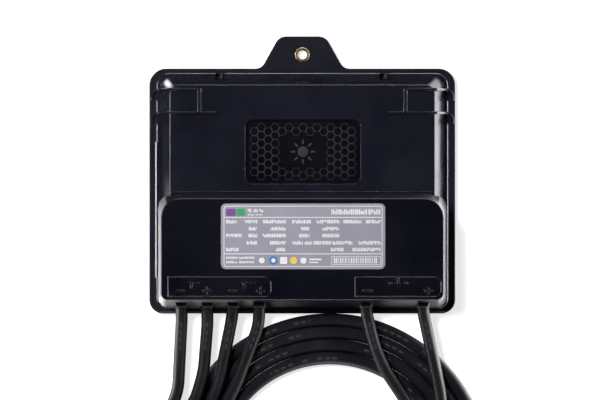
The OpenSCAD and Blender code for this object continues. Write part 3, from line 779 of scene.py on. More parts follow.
def hex_relief():
    # columns are set a touch wider than regular
    reach_x, reach_y = HEX_COLUMN / 1.5, HEX_ROW / math.sqrt(3)
    bm = bmesh.new()
    shared = {}

    def vert(x, y):
        """Corner at x, y, shared with any corner already there."""
        kx, ky = round(x * 20), round(y * 20)
        for dx in (-1, 0, 1):
            for dy in (-1, 0, 1):
                if (kx + dx, ky + dy) in shared:
                    return shared[(kx + dx, ky + dy)]
        shared[(kx, ky)] = bm.verts.new((x, y, 0))
        return shared[(kx, ky)]

    for cx, cy in hex_cells():
        angles = [math.radians(60 * i) for i in range(6)]
        bm.faces.new([vert(cx + reach_x * math.cos(a), cy + reach_y * math.sin(a))
                      for a in angles])
    bm.normal_update()
    cells = list(bm.faces)
    # half a line outwards round the field, half a line inwards in each cell
    bmesh.ops.inset_region(bm, faces=cells, thickness=HEX_LINE / 2, use_outset=True,
                           use_boundary=True, use_even_offset=True)
    bmesh.ops.inset_individual(bm, faces=cells, thickness=HEX_LINE / 2, use_even_offset=True)
    bmesh.ops.delete(bm, geom=cells, context="FACES_ONLY")
    boundary = [e for e in bm.edges if e.is_boundary]
    walls = bmesh.ops.extrude_edge_only(bm, edges=boundary)
    for item in walls["geom"]:
        if isinstance(item, bmesh.types.BMVert):
            item.co.z -= HEX_HEIGHT + 0.1
    bmesh.ops.recalc_face_normals(bm, faces=bm.faces)
    bmesh.ops.bevel(bm, geom=[e for e in boundary if e.is_valid], offset=0.13, segments=2,
                    affect="EDGES", profile=0.5)
    for w in bm.verts:
        w.co = Vector(((w.co.x + RECESS_X) * MM, (w.co.y + RECESS_Y) * MM,
                       (w.co.z + RECESS_Z + HEX_HEIGHT) * MM))
    me = bpy.data.meshes.new("hex_relief")
    bm.to_mesh(me)
    bm.free()
    ob = mesh_object("hex_relief", me)
    me.materials.append(MATS["hexline"])
    finish_mesh(ob, 40)
    deliver(ob)


hex_relief()


def emblem():
    """Plain sun: a domed disc and eight tapered rays."""
    # height above the recess floor, radius
    dome = [(-0.1, 2.75), (0.35, 2.75), (0.5, 2.68), (0.62, 2.45), (0.70, 1.7), (0.74, 0.8),
            (0.75, 0.05)]
    # distance from the centre, half width
    ray = [(3.9, 0.35), (4.1, 0.62), (5.9, 0.34), (6.3, 0.16)]
    centre = Vector((RECESS_X, RECESS_Y, RECESS_Z))
    parts = [make("disc", *skin(turned_rings(dome, 48, upright(*centre))), "hexline")]
    for k in range(8):
        a = math.pi / 4 * k
        along = Vector((math.cos(a), math.sin(a), 0))
        across = Vector((-math.sin(a), math.cos(a), 0))
        rings = []
        for distance, half in ray:
            p = centre + along * distance
            section = rounded_section(2 * half, 0.62, 0.1, min(0.16, half * 0.6), 2)
            rings.append([tuple(p + across * q[0] + Vector((0, 0, q[1]))) for q in section])
        parts.append(make("ray", *skin(rings), "hexline", recalc=True))
    deliver(join("recess_emblem", parts, 35))


emblem()

# ---------------------------------------------------------------- rear cover
HALF_W, HALF_H = 78.0, 62.4
CORNER_TOP, CORNER_LOW = 8.6, 7.0       # corner radii at +Y and -Y
TAB_TOP = HALF_H + 16.4
FLANK = 59.0                            # slope of the tab's sides in degrees
TAB_HOLE_Y = 69.4
SCREWS = [(-63.5, 47.5), (63.5, 47.5), (-65.5, -8), (65.5, -8), (5, -51.5), (0, 48.6)]


def flange_outline():
    """Rounded rectangle with the tab on its +Y side, counter-clockwise from +X, +Y."""
    t = math.tan(math.radians(FLANK / 2))
    r_tip, r_root = 6.0, 5.0
    tip_x, tip_y = 11.25 + 0.35 - r_tip * t, TAB_TOP - r_tip
    root_x, root_y = 21.0 + r_root * t, HALF_H + r_root
    pts = arc(HALF_W - CORNER_TOP, HALF_H - CORNER_TOP, CORNER_TOP, 0, 90, 12)
    pts += arc(root_x, root_y, r_root, 270, 270 - FLANK, 9)
    pts += arc(tip_x, tip_y, r_tip, 90 - FLANK, 90, 10)
    pts += arc(-tip_x, tip_y, r_tip, 90, 90 + FLANK, 10)
    pts += arc(-root_x, root_y, r_root, 270 + FLANK, 270, 9)
    pts += arc(-HALF_W + CORNER_TOP, HALF_H - CORNER_TOP, CORNER_TOP, 90, 180, 12)
    pts += arc(-HALF_W + CORNER_LOW, -HALF_H + CORNER_LOW, CORNER_LOW, 180, 270, 12)
    pts += arc(HALF_W - CORNER_LOW, -HALF_H + CORNER_LOW, CORNER_LOW, 270, 360, 12)
    return pts


def rolled_plate(outline, z0, z1, r0, r1, seg):
    """Plate with rolled lower (r0) and upper (r1) edges."""
    rings = []
    for i in range(seg + 1):
        a = math.pi / 2 * i / seg
        rings.append(at_z(offset_poly(outline, r0 * (1 - math.sin(a))),
                          z0 + r0 * (1 - math.cos(a))))
    for i in range(seg + 1):
        a = math.pi / 2 * i / seg
        rings.append(at_z(offset_poly(outline, r1 * (1 - math.cos(a))),
                          z1 - r1 + r1 * math.sin(a)))
    return skin(rings)


def rear_cover():
    def hole(profile, x, y, n):
        """Round cutter from (z, radius) points."""
        return make("hole", *skin(turned_rings(profile, n, upright(x, y))), recalc=True)

    cover = make("back_cover", *rolled_plate(flange_outline(), 0.0, 4.0, r0=0.5, r1=0.7, seg=5),
                 "flange")
    rim = (-HALF_W, HALF_W, -HALF_H, HALF_H, CORNER_TOP, CORNER_LOW)
    cuts = [
        # shallow line round the rim, beside the front cover's foot
        make("line", *band(rrect(rim, 1.55, 12), rrect(rim, 2.0, 12), 3.82, 5.0), recalc=True),
        make("pocket", *stacked((-67.5, 67.5, -54, 53.4, 4, 4), [(0, 1.6), (0, 5.0)])),
        hole([(-1, 3.2), (6, 3.2)], 0, TAB_HOLE_Y, 40),
        hole([(3.4, 3.72), (6, 3.72)], 0, TAB_HOLE_Y, 40)]
    # chamfer along the flange's -Y edge
    wedge = [(-60.7, 4.5), (-63.5, 4.5), (-63.5, 2.2), (-63.0, 2.2)]
    v = [(x, y, z) for x in (-72.5, 72.5) for y, z in wedge]
    sides = [(i, 4 + i, 4 + (i + 1) % 4, (i + 1) % 4) for i in range(4)]
    cuts.append(make("chamfer", v, [(0, 1, 2, 3), (7, 6, 5, 4)] + sides, recalc=True))
    # six shallow fields in the underside
    field_edge = [(-0.35, -0.5), (-0.35, -0.02), (0.0, 0.3), (0.12, 0.62), (0.35, 0.7)]
    for k in range(-5, 6, 2):
        x = k * 9.0
        cuts.append(make("field", *stacked((x - 7.6, x + 7.6, -42, 40, 2, 2), field_edge, 6)))
    for x, y in SCREWS:
        cuts.append(hole([(-1, 3.15), (0, 3.15), (0.25, 2.9), (1.8, 2.9)], x, y, 36))
    boolean(cover, cuts, angle=30)
    deliver(cover, "rear_shell")


rear_cover()


def tab_bush():
    # z, radius: up the bore, over the collar and down the outside
    profile = [
        (0.0, 2.45), (0.2, 2.25), (3.9, 2.25), (4.25, 2.33), (4.36, 2.5), (4.42, 2.75),
        (4.46, 3.1), (4.44, 3.4), (4.36, 3.58), (4.2, 3.68), (4.0, 3.7), (3.5, 3.7),
        (3.42, 3.3), (3.4, 3.18), (0.0, 3.18)]
    bush = make("brass_bush", *lathe(profile, 64, upright(0, TAB_HOLE_Y)), "brass", recalc=True,
                angle=40)
    deliver(bush, "tab_bush")


tab_bush()

# ---------------------------------------------------------------- plate and its plain print
PRINT_Z = 30.06                         # top of the plate
PRINT_SINK, PRINT_RISE = 0.02, 0.03     # print below and above that surface
STROKE_WIDTHS = (0.381, 0.508, 0.6604)
STROKE_GAP = 0.21336
SHORTEST_STROKE = 0.1525

# header words: x0, x1, y, height, stroke factor
HEADER = [
    (-27.6352, -25.6032, -9.9568, 1.7272, 0.8), (-24.6888, -22.6568, -9.9568, 1.7272, 0.8),
    (-21.7424, -19.7104, -9.9568, 1.7272, 0.8), (-27.6352, -24.384, -12.0904, 0.762, 0.6),
    (-23.6728, -20.1168, -12.0904, 0.762, 0.6), (14.6812, 32.7152, -10.6172, 2.6416, 1.25),
    (33.4264, 39.624, -10.6172, 2.6416, 1.25)]
# table rows: y, then x0, x1 of each word
ROW_HEIGHT = 1.8288
ROWS = [
    (-15.5448, ((-38.608, -33.2232), (-29.1592, -22.86), (-19.9136, -8.4328),
                (-5.1816, 4.2672), (7.0612, 18.7452), (20.7772, 29.9212), (32.2072, 39.624))),
    (-19.1008, ((-27.1272, -23.0632), (-16.0528, -8.4328), (-0.8128, 3.5052),
                (10.1092, 18.7452))),
    (-22.606, ((-38.608, -30.6832), (-27.2288, -22.7584), (-20.1168, -8.4328),
               (-1.5748, 3.7592), (10.1092, 18.7452))),
    (-26.2636, ((-28.1432, -22.9616), (-16.3576, -8.3312), (-5.1816, 0.4572),
                (1.2192, 4.7752), (5.588, 14.4272), (15.24, 25.3492), (28.448, 39.624))),
    (-29.6672, ((-38.608, -32.3088), (-13.3096, -8.3312), (14.4272, 20.7772),
                (25.3492, 39.624)))]
FOOTER_ROWS = (-33.8328, -36.0172)
FOOTER_WORDS = ((-38.608, -32.8168), (-32.1056, -24.2824))
SYMBOL_Y = -35.2044                     # centre line of the round and six-sided shapes


class Print:
    """Collects thin raised shapes for each ink."""
    def __init__(self):
        inks = ("ink_white", "ink_blue", "ink_green", "ink_violet", "ink_yellow")
        self.shapes = {key: [] for key in inks}
        self.rng = random.Random(11)

    def slab(self, key, pts, lift=0.0):
        """Open-bottomed slab from a counter-clockwise outline."""
        n, z = len(pts), PRINT_Z + lift
        f = [tuple(range(n, 2 * n))]
        for j in range(n):
            k = (j + 1) % n
            f.append((j, k, n + k, n + j))
        self.shapes[key].append((at_z(pts, z - PRINT_SINK) + at_z(pts, z + PRINT_RISE), f))

    def rect(self, x0, x1, y0, y1, r=0.0, key="ink_white"):
        self.slab(key, rrect((x0, x1, y0, y1, r, r), 0, 3))

    def frame(self, x0, x1, y0, y1, r, line):
        bounds = (x0, x1, y0, y1, r, r)
        self.shapes["ink_white"].append(
            band(rrect(bounds, 0, 6), rrect(bounds, line, 6), PRINT_Z - PRINT_SINK,
                 PRINT_Z + PRINT_RISE, bottom=False))

    def disc(self, key, x, r, n=36, lift=0.0):
        angles = [2 * math.pi * j / n for j in range(n)]
        self.slab(key, [(x + r * math.cos(a), SYMBOL_Y + r * math.sin(a)) for a in angles], lift)

    def word(self, x0, x1, y, height, stroke=1.0):
        """Plain strokes standing for one word, some of them short at the top or bottom."""
        x = x0
        while x < x1 - SHORTEST_STROKE:
            width = min(self.rng.choice(STROKE_WIDTHS) * stroke, x1 - x)
            kind = self.rng.random()
            low, high = y - height / 2, y + height / 2
            if 0.62 <= kind < 0.85:
                high -= 0.3 * height
            elif kind >= 0.85:
                low += 0.35 * height
            self.rect(x, x + width, low, high)
            x += width + STROKE_GAP * stroke

    def barcode(self, x0, x1, y0, y1):
        x = x0
        while x < x1:
            width = self.rng.choice((0.254, 0.4064, 0.6604))
            self.rect(x, x + width, y0, y1)
            x += width + self.rng.choice((0.3048, 0.4572, 0.6604))

    def objects(self):
        out = []
        for key, shapes in self.shapes.items():
            v, f = [], []
            for verts, faces in shapes:
                start = len(v)
                v += verts
                f += [tuple(i + start for i in face) for face in faces]
            out.append(make("print", v, f, key))
        return out


def rating_plate():
    # shares the joined object's name, which sets the suffix that object gets
    plate = make("rating_plate", *stacked(PLATE, [(0, 29.72), (0, 30.0), (0.04, 30.04),
                                                  (0.12, PRINT_Z)], 8), "label")
    p = Print()
    p.frame(-39.8272, 40.5384, -38.4048, -7.5692, r=1.5, line=0.33)
    p.rect(-39.3192, 40.132, -13.589, -13.208)
    p.rect(-39.3192, 40.132, -32.0548, -31.6484)
    p.rect(-38.608, -33.7312, -12.7, -8.9408, r=0.5, key="ink_violet")
    p.rect(-33.3756, -29.0576, -12.7, -8.9408, r=0.5, key="ink_green")
    for x0, x1, y, height, stroke in HEADER:
        p.word(x0, x1, y, height, stroke)
    for y, row in ROWS:
        for x0, x1 in row:
            p.word(x0, x1, y, ROW_HEIGHT)
    for y in FOOTER_ROWS:
        for x0, x1 in FOOTER_WORDS:
            p.word(x0, x1, y, height=1.1684, stroke=0.75)
    p.disc("ink_blue", -14.6812, r=2.15)
    p.disc("ink_white", -14.6812, r=1.1, lift=0.02)
    p.disc("ink_white", -20.5232, r=1.6, n=6)
    p.rect(-11.2776, -7.7216, -36.9824, -33.4264, r=0.4)
    p.disc("ink_yellow", -4.4704, r=2.0, n=6)
    p.rect(-1.016, 2.032, -36.7792, -33.7312, r=1.2)
    p.rect(3.5052, 9.6012, -35.052, -34.2392)
    p.rect(3.5052, 8.0772, -36.4744, -35.8648)
    p.frame(14.6812, 39.7256, -37.3888, -33.1216, r=0.5, line=0.25)
    p.barcode(15.9512, 38.303, -36.6776, -33.8328)
    deliver(join("rating_plate", [plate] + p.objects(), 25), "rating_label")


rating_plate()

# ---------------------------------------------------------------- port marks on the box
MARK_LOW, MARK_HIGH, MARK_SOFT = BOX_Z - 0.15, BOX_Z + 0.28, 0.09
MARK_Y = -46.5836                       # centre line of arrows and pips
MINUS_Y, PLUS_Y = -50.4952, -50.5968


def port_marks():
    parts = []

    def add(verts, faces, recalc=False):
        parts.append(make("mark", verts, faces, "box_face", recalc=recalc))

    def pad(pts):
        add(*skin([at_z(pts, MARK_LOW), at_z(pts, MARK_HIGH - MARK_SOFT),
                   at_z(offset_poly(pts, MARK_SOFT), MARK_HIGH)]))

    def frame_outline(x0, x1, i):
        """Rectangle with cut corners at +X, inset by i."""
        cut = x1 - 2.4 - i * 0.4
        return [(x0 + i, -53.6 + i), (cut, -53.6 + i), (x1 - i, -51.2 + i * 0.4),
                (x1 - i, -45.7 - i * 0.4), (cut, -43.3 - i), (x0 + i, -43.3 - i)]

    def bar(x, y, w, h):
        pad([(x - w / 2, y - h / 2), (x + w / 2, y - h / 2), (x + w / 2, y + h / 2),
             (x - w / 2, y + h / 2)])

    def plus(x, y, s=2.1, q=0.475):
        pad([(x + dx, y + dy) for dx, dy in (
            (-s, -q), (-q, -q), (-q, -s), (q, -s), (q, -q), (s, -q),
            (s, q), (q, q), (q, s), (-q, s), (-q, q), (-s, q))])

    def arrow(x, direction):
        """Points to +Y (1, into the box) or to -Y (-1, out of it)."""
        half = 2.7
        pts = [(-0.55, -half), (0.55, -half), (0.55, 0.2), (1.9, 0.2), (0, half), (-1.9, 0.2),
               (-0.55, 0.2)]
        pts = [(x + dx, MARK_Y + dy * direction) for dx, dy in pts]
        pad(pts if direction > 0 else pts[::-1])

    def pip(x):
        pad(arc(x, MARK_Y, 0.62, 0, 345, 23))

    for x0, x1 in ((-68.2, -15.8), (26.4, 70.3)):
        outer, inner = frame_outline(x0, x1, 0), frame_outline(x0, x1, 0.45)
        add(*skin([at_z(outer, MARK_LOW), at_z(outer, MARK_HIGH - MARK_SOFT),
                   at_z(offset_poly(outer, MARK_SOFT), MARK_HIGH),
                   at_z(offset_poly(inner, -MARK_SOFT), MARK_HIGH),
                   at_z(inner, MARK_HIGH - MARK_SOFT), at_z(inner, MARK_LOW)], caps=False),
            recalc=True)
    for x, width in ((-61.6712, 4.0), (-35.0012, 4.4), (32.9692, 5.2)):
        bar(x, MINUS_Y, width, 1.0)
    for x in (-48.3108, -21.2852, 63.8048):
        plus(x, PLUS_Y)
    arrow(-56.1752, 1)
    pip(-53.0752)
    arrow(-29.348, 1)
    pip(-26.248)
    pip(-24.448)
    out_x = 48.4632
    arrow(out_x, -1)
    bar(out_x - 3.9, MARK_Y, 2.2, 0.9)
    bar(out_x + 3.9, MARK_Y, 2.2, 0.9)
    deliver(join("port_marks", parts, 28))


port_marks()

# ---------------------------------------------------------------- cables
CABLE_R = 3.1
START_Y = -46.9                         # inside the box
IN_DIR = math.radians(-118.0)           # heading of the four cable ends at -X
OUT_DIR = math.radians(-90.0)           # heading of the other two
IN_GAP, IN_ALONG, IN_ACROSS = 17.9, 206.0, 16.34
COIL_R, PITCH = 58.9, 6.5


def v2(x, y):
    return Vector((x, y))


def input_end(across):
    c, s = math.cos(IN_DIR), math.sin(IN_DIR)
    return v2(c * IN_ALONG - s * across, s * IN_ALONG + c * across)


COIL_TOP, COIL_LOW = v2(14, -144), v2(7.5, -144)      # centres of the +Y and -Y half turns
# origin and heading of each connector
ENDS = [(input_end(IN_ACROSS - k * IN_GAP), IN_DIR) for k in (3, 2, 1, 0)]
ENDS += [(v2(COIL_TOP.x + COIL_R + 2 * PITCH, -176), OUT_DIR), (v2(104, -186), OUT_DIR)]
LINES = ["in1_neg", "in1_pos", "in2_neg", "in2_pos", "out_neg", "out_pos"]


def near_end(i, distance):
    """Point on the connector's axis."""
    origin, a = ENDS[i]
    return origin + distance * v2(math.cos(a), math.sin(a))


def tip(i):
    return near_end(i, 20)


def out(i, y):
    """Point straight out from the cable's hole."""
    return v2(EXITS[i], y)


def low(r):
    return [COIL_LOW + v2(r, -r), COIL_LOW + v2(-r, -r)]


def high(r):
    return [COIL_TOP + v2(-r, r), COIL_TOP + v2(r, r)]


# A route is a list of corners with the bend radius at each.
def leg(corners, k):
    return (corners[k + 1] - corners[k]).normalized()


def turn(corners, k):
    return math.acos(max(-1.0, min(1.0, leg(corners, k - 1).dot(leg(corners, k)))))


def bend_length(corners, radii, k):
    """How much of each neighbouring leg the bend at corner k takes up."""
    if k <= 0 or k >= len(corners) - 1:
        return 0.0
    return radii[k] * math.tan(turn(corners, k) / 2)


def reach(corners, radii, k):
    """Length of the route up to the start of the bend at corner k."""
    s = 0.0
    for i in range(1, k + 1):
        s += ((corners[i] - corners[i - 1]).length - bend_length(corners, radii, i - 1)
              - bend_length(corners, radii, i))
        if i > 1:
            s += radii[i - 1] * turn(corners, i - 1)
    return s


def plan(corners, radii):
    """Points along straights and bends, a few millimetres apart."""
    straight_step, bend_step, closest = 3.5, 2.2, 0.2
    pts = []
    for k in range(1, len(corners)):
        a = leg(corners, k - 1)
        p = corners[k - 1] + a * bend_length(corners, radii, k - 1)
        q = corners[k] - a * bend_length(corners, radii, k)
        n = max(1, int((q - p).length / straight_step))
        pts += [p + (q - p) * (i / n) for i in range(n)]
        if k < len(corners) - 1:
            b, angle, r = leg(corners, k), turn(corners, k), radii[k]
            side = 1.0 if a.x * b.y - a.y * b.x > 0 else -1.0
            normal = v2(-a.y, a.x) * side
            centre = q + normal * r
            m = max(2, int(r * angle / bend_step))
            pts += [centre - normal * r * math.cos(angle * i / m)
                    + a * r * math.sin(angle * i / m) for i in range(m)]
        else:
            pts.append(corners[k])
    kept = [pts[0]]
    for p in pts[1:]:
        if (p - kept[-1]).length > closest:
            kept.append(p)
    return kept


def height(knots, s):
    """Height at length s, eased between (length, height) knots."""
    for (s0, h0), (s1, h1) in zip(knots, knots[1:]):
        if s <= s1:
            return h0 + (h1 - h0) * smooth((s - s0) / (s1 - s0))
    return knots[-1][1]


def lengths(path):
    """Length along the path at each point."""
    out_lengths = [0.0]
    for a, b in zip(path, path[1:]):
        out_lengths.append(out_lengths[-1] + (b - a).length)
    return out_lengths


def path3(corners, radii, knots):
    pts = plan(corners, radii)
    return [Vector((p.x, p.y, height(knots, s))) for p, s in zip(pts, lengths(pts))]


TURNS = [COIL_R + k * PITCH for k in range(-1, 4)]    # half-turn radii, one inside COIL_R first
LAST_X = COIL_TOP.x + TURNS[4]
ROUTES = [
    ([out(0, START_Y), out(0, -66), v2(-63.8, -113), near_end(0, -24), tip(0)],
     [0, 60, 30, 38, 0]),
    ([out(1, START_Y), out(1, -68), v2(-50.2, -92), v2(-56, -111.5), near_end(1, -24), tip(1)],
     [0, 50, 50, 34, 38, 0]),
    ([out(2, START_Y), out(2, -62), v2(-42, -96), v2(-48.2, -113), near_end(2, -24), tip(2)],
     [0, 50, 60, 44, 44, 0]),
    ([out(3, START_Y), out(3, -68), v2(-33.6, -98), tip(3)], [0, 30, 60, 0]),
    ([out(4, START_Y), out(4, -60.5), v2(38.6, -86), v2(COIL_LOW.x + TURNS[0], -117.6)]
     + low(TURNS[0]) + high(TURNS[1]) + low(TURNS[2]) + high(TURNS[3]) + [tip(4)],
     [0, 40, 70, 60] + [r for r in TURNS[:4] for _ in range(2)] + [0]),
    ([out(5, START_Y), out(5, -61), v2(72, -111.3), v2(COIL_LOW.x + TURNS[1], -133)]
     + low(TURNS[1]) + high(TURNS[2]) + low(TURNS[3]) + high(TURNS[4])
     + [v2(LAST_X, -151), v2(104, -179), tip(5)],
     [0, 40, 50, 40] + [r for r in TURNS[1:] for _ in range(2)] + [34, 34, 0]),
]


def height_knots():
    """The straight cables stay level; the coiled two come down to the floor and rise again."""
    neg, pos = ROUTES[4], ROUTES[5]
    neg_end, pos_end = reach(*neg, 12), reach(*pos, 14)
    pos_coil = reach(*pos, 4)
    return [[(0, CABLE_Z), (1, CABLE_Z)]] * 4 + [
        [(0, CABLE_Z), (reach(*neg, 3) + 14, CABLE_Z), (reach(*neg, 4) + 6, CABLE_R),
         (neg_end - 60, CABLE_R), (neg_end - 34, CABLE_Z)],
        [(0, CABLE_Z), (pos_coil - 1, CABLE_Z), (pos_coil + 40, CABLE_R),
         (pos_end - 64, CABLE_R), (pos_end - 34, CABLE_Z)]]


CABLE_PATHS = [path3(*route, knots) for route, knots in zip(ROUTES, height_knots())]


def ring_at(p, direction, r, n):
    """Circle round a path point, square to the direction."""
    side = Z_AXIS.cross(direction).normalized()
    up = direction.cross(side)
    angles = [2 * math.pi * j / n for j in range(n)]
    return [tuple(p + side * (r * math.cos(a)) + up * (r * math.sin(a))) for a in angles]


def tube(name, path, radii, n, mat):
    """Closed tube with the UV map "along": u in metres along it, v once round it."""
    m = len(path)
    steps = [(b - a).normalized() for a, b in zip(path, path[1:])]
    directions = [steps[0]] + [(b + a).normalized() for a, b in zip(steps, steps[1:])]
    directions.append(steps[-1])
    verts, faces = [], []
    for p, direction, r in zip(path, directions, radii):
        verts += ring_at(p, direction, r, n)
    for i in range(m - 1):
        for j in range(n):
            k = (j + 1) % n
            faces.append((i * n + j, (i + 1) * n + j, (i + 1) * n + k, i * n + k))
    faces.append(tuple(range(n)))
    faces.append(tuple(reversed(range((m - 1) * n, m * n))))
    ob = make(name, verts, faces, mat, angle=40, recalc=True)
    me = ob.data
    layer = me.uv_layers.new(name="along")
    along = [s * MM for s in lengths(path)]
    for poly in me.polygons:
        indices = [me.loops[loop].vertex_index for loop in poly.loop_indices]
        places = [q % n for q in indices]
        wraps = max(places) == n - 1 and min(places) == 0 and len(places) == 4
        for loop, q, j in zip(poly.loop_indices, indices, places):
            v = 1.0 if wraps and j == 0 else j / n
            layer.data[loop].uv = (along[q // n], v)
    return ob


for line, path in zip(LINES, CABLE_PATHS):
    # strands lying side by side on the floor press together and close most gaps
    radii = [CABLE_R + (0.15 + 0.03 * math.sin(i * 0.21)) * smooth((CABLE_Z - p.z - 4.5) / 1.5)
             for i, p in enumerate(path)]
    deliver(tube("cable_sheath_" + line, path, radii, 28, "cable"),
            "cable_" + line)


# ---------------------------------------------------------------- grommets at the wall
def point_at(path, s):
    along = lengths(path)
    i = 0
    while i < len(along) - 2 and s > along[i + 1]:
        i += 1
    t = (s - along[i]) / (along[i + 1] - along[i])
    return path[i] + (path[i + 1] - path[i]) * t


def grommets():
    # length along the cable, radius
    profile = [
        (6.4, 3.3), (6.42, 4.6), (6.6, 4.78), (7.3, 4.78), (7.48, 4.6), (7.5, 3.94),
        (11.9, 3.94), (12.2, 3.9), (12.36, 3.78), (12.44, 3.6), (12.46, 3.36), (12.38, 3.2),
        (12.1, 3.12)]
    parts = []
    for path in CABLE_PATHS:
        rings = []
        for s, r in profile:
            direction = (point_at(path, s + 0.6) - point_at(path, s - 0.6)).normalized()
            rings.append(ring_at(point_at(path, s), direction, r, 40))
        parts.append(make("grommet", *skin(rings, caps=False), "boot"))
    ob = join("wall_grommets", parts, 40)
    recalc_normals(ob.data)
    deliver(ob, "cable_grommets")


grommets()


# ---------------------------------------------------------------- connectors
# Each has its own frame: +X runs along the cable, away from the housing.
def placer(i):
    origin, a = ENDS[i]
    c, s = math.cos(a), math.sin(a)
    return lambda p: (origin.x + c * p[0] - s * p[1], origin.y + s * p[0] + c * p[1],
                      CABLE_Z + p[2])


def carry(ob, place):
    """Moves a mesh built in a connector's own frame to its cable end."""
    for w in ob.data.vertices:
        w.co = [q * MM for q in place([t / MM for t in w.co])]
    ob.data.update()


# profiles are (x, radius)
NUT = [
    (0.0, 3.62), (0.0, 6.6), (0.12, 7.1), (0.45, 7.45), (0.9, 7.58), (2.2, 7.6), (2.55, 7.7),
    (2.75, 8.1), (3.1, 8.48), (3.6, 8.6), (6, 8.6), (9, 8.6), (12, 8.6), (13.9, 8.6),
    (14.5, 8.48), (14.9, 8.2), (15.0, 8.02), (16.4, 8.0), (16.8, 7.9), (17.0, 7.6),
    (17.0, 6.95), (16.9, 6.88), (8.2, 6.88), (8.2, 6.18), (2.2, 6.18), (2.2, 3.6), (0.15, 3.6)]
CAGE = [
    (2.4, 3.3), (2.4, 5.9), (2.6, 6.1), (7.5, 6.1), (7.62, 5.95), (7.62, 5.2), (7.8, 5.12),
    (11.1, 5.12), (11.4, 4.9), (11.4, 3.5), (11.2, 3.25), (2.6, 3.25)]
THREAD_START, THREAD_PITCH, THREAD_TURNS = 9.9, 1.5, 5
SHANK = [(8.6, 5.2), (8.6, 6.5), (8.9, 6.8), (THREAD_START, 6.8)]
for k in range(THREAD_TURNS):
    x = THREAD_START + k * THREAD_PITCH
    SHANK += [(x + 0.3, 6.5), (x + 0.75, 6.5), (x + 1.05, 6.8), (x + THREAD_PITCH, 6.8)]
SHANK += [
    (17.0, 6.8), (17.4, 6.8), (17.42, 7.3), (17.6, 7.7), (17.95, 8.2), (20, 8.2), (22.4, 8.2),
    (22.75, 7.95), (22.95, 7.65), (23.05, 7.6), (25.4, 7.6), (25.8, 7.45), (25.95, 7.2),
    (27.2, 7.2), (27.3, 7.02), (27.9, 7.02), (28.0, 7.2)]
SOCKET_FRONT = [
    (29.2, 7.2), (29.3, 7.02), (29.9, 7.02), (30.0, 7.2), (36, 7.2), (46, 7.2), (49.3, 7.2),
    (49.8, 7.05), (50.0, 6.75), (50.0, 5.25), (49.8, 5.0), (49.4, 4.9), (31.1, 4.9),
    (31.0, 4.8), (31.0, 2.3)]
PLUG_FRONT = [
    (30.6, 7.2), (30.95, 7.05), (31.0, 6.8), (31.0, 4.1), (31.1, 4.0), (34.0, 4.0),
    (34.02, 4.2), (34.15, 4.3), (46.2, 4.3), (46.7, 4.15), (47.0, 3.8), (47.0, 2.5),
    (46.8, 2.3)]
BORE = [(21.5, 2.3), (21.5, 3.2), (16.5, 3.2), (16.5, 5.2)]
# latch arm seen along Z, at +Y: x, y
LATCH = [
    (28.2, 6.7), (28.2, 7.9), (28.8, 8.35), (44.4, 8.35), (45, 7.9), (44.9, 7.2), (44.6, 6.2),
    (44.2, 5.92), (43.4, 5.92), (42.1, 6.5), (41.8, 6.75), (34, 6.75), (31.6, 6.6)]
LATCH_EDGE = ((-2.0, 0.25), (-1.92, 0.08), (-1.75, 0.0), (1.75, 0.0), (1.92, 0.08), (2.0, 0.25))


def fluted(x, r, a):
    """Twelve lands round the nut, with grooves of radius near 7.82 between them."""
    if not (2.6 <= x <= 14.95 and r > 8.05):
        return r
    pitch, groove_r = 2 * math.pi / 12, 7.82
    off_land = abs(((a % pitch) / pitch) - 0.5) * 2      # 0 at the middle of a land
    land = 1 - smooth((off_land - 0.52) / 0.42)
    return groove_r + (r - groove_r) * (0.25 + 0.75 * land)


def hexagonal(x, r, a):
    """Rounded hexagon behind the connector's front, a circle elsewhere."""
    if not 17.5 <= x <= 22.8 or r < 7.3:
        return r
    side = math.pi / 3
    off_middle = ((a + math.pi / 6) % side) - side / 2
    return min(r * math.cos(side / 2) / math.cos(off_middle), r * 0.955)


def gland_nut(i, line):
    nut = make("gland_nut_" + line, *lathe(NUT, 144, placer(i), fluted), "connector",
               recalc=True, angle=35)
    deliver(nut, "nut_" + line, body="nut_" + line)


def clamping_cage(i, line):
    """Sleeve with six slots in its far end."""
    cage = make("cage", *lathe(CAGE, 48), "inner", recalc=True)
    cuts = []
    for k in range(6):
        a = math.pi / 3 * k
        c, s = math.cos(a), math.sin(a)
        slot = soft_box((8, 12.5, -0.4, 0.4, 2.9, 6), bevel=0.05,
                        place=lambda p: (p[0], p[1] * c - p[2] * s, p[1] * s + p[2] * c))
        cuts.append(make("slot", *slot, recalc=True))
    boolean(cage, cuts, angle=35)
    carry(cage, placer(i))
    cage.name = "clamping_cage_" + line
    deliver(cage, "cage_" + line, body="cage_" + line)


def socket_body(i):
    # windows are cut before placing: the exact solver loses the body when it lies at an angle
    body = make("socket", *lathe(SHANK + SOCKET_FRONT + BORE, 96, shape=hexagonal), "connector",
                recalc=True)
    whole = body.data.copy()
    cuts = []
    for y0, y1 in ((-8.6, -4.6), (4.6, 8.6)):
        window = soft_box((38, 44, y0, y1, -2.4, 2.4), bevel=0.35)
        cuts.append(make("window", *window, recalc=True))
    boolean(body, cuts)
    # guards against the solver losing the body: then it stays uncut
    if len(body.data.polygons) < 0.8 * len(whole.polygons):
        body.data = whole
    carry(body, placer(i))
    return [body]


def plug_body(i):
    place = placer(i)
    parts = [make("plug", *lathe(SHANK + PLUG_FRONT + BORE, 96, place, hexagonal), "connector",
                  recalc=True)]
    for s in (-1, 1):
        outline = [(x, s * y) for x, y in LATCH]
        if s < 0:
            outline.reverse()
        rings = [[place((p[0], p[1], z)) for p in offset_poly(outline, d)]
                 for z, d in LATCH_EDGE]
        parts.append(make("latch", *skin(rings), "connector", recalc=True))
    return parts


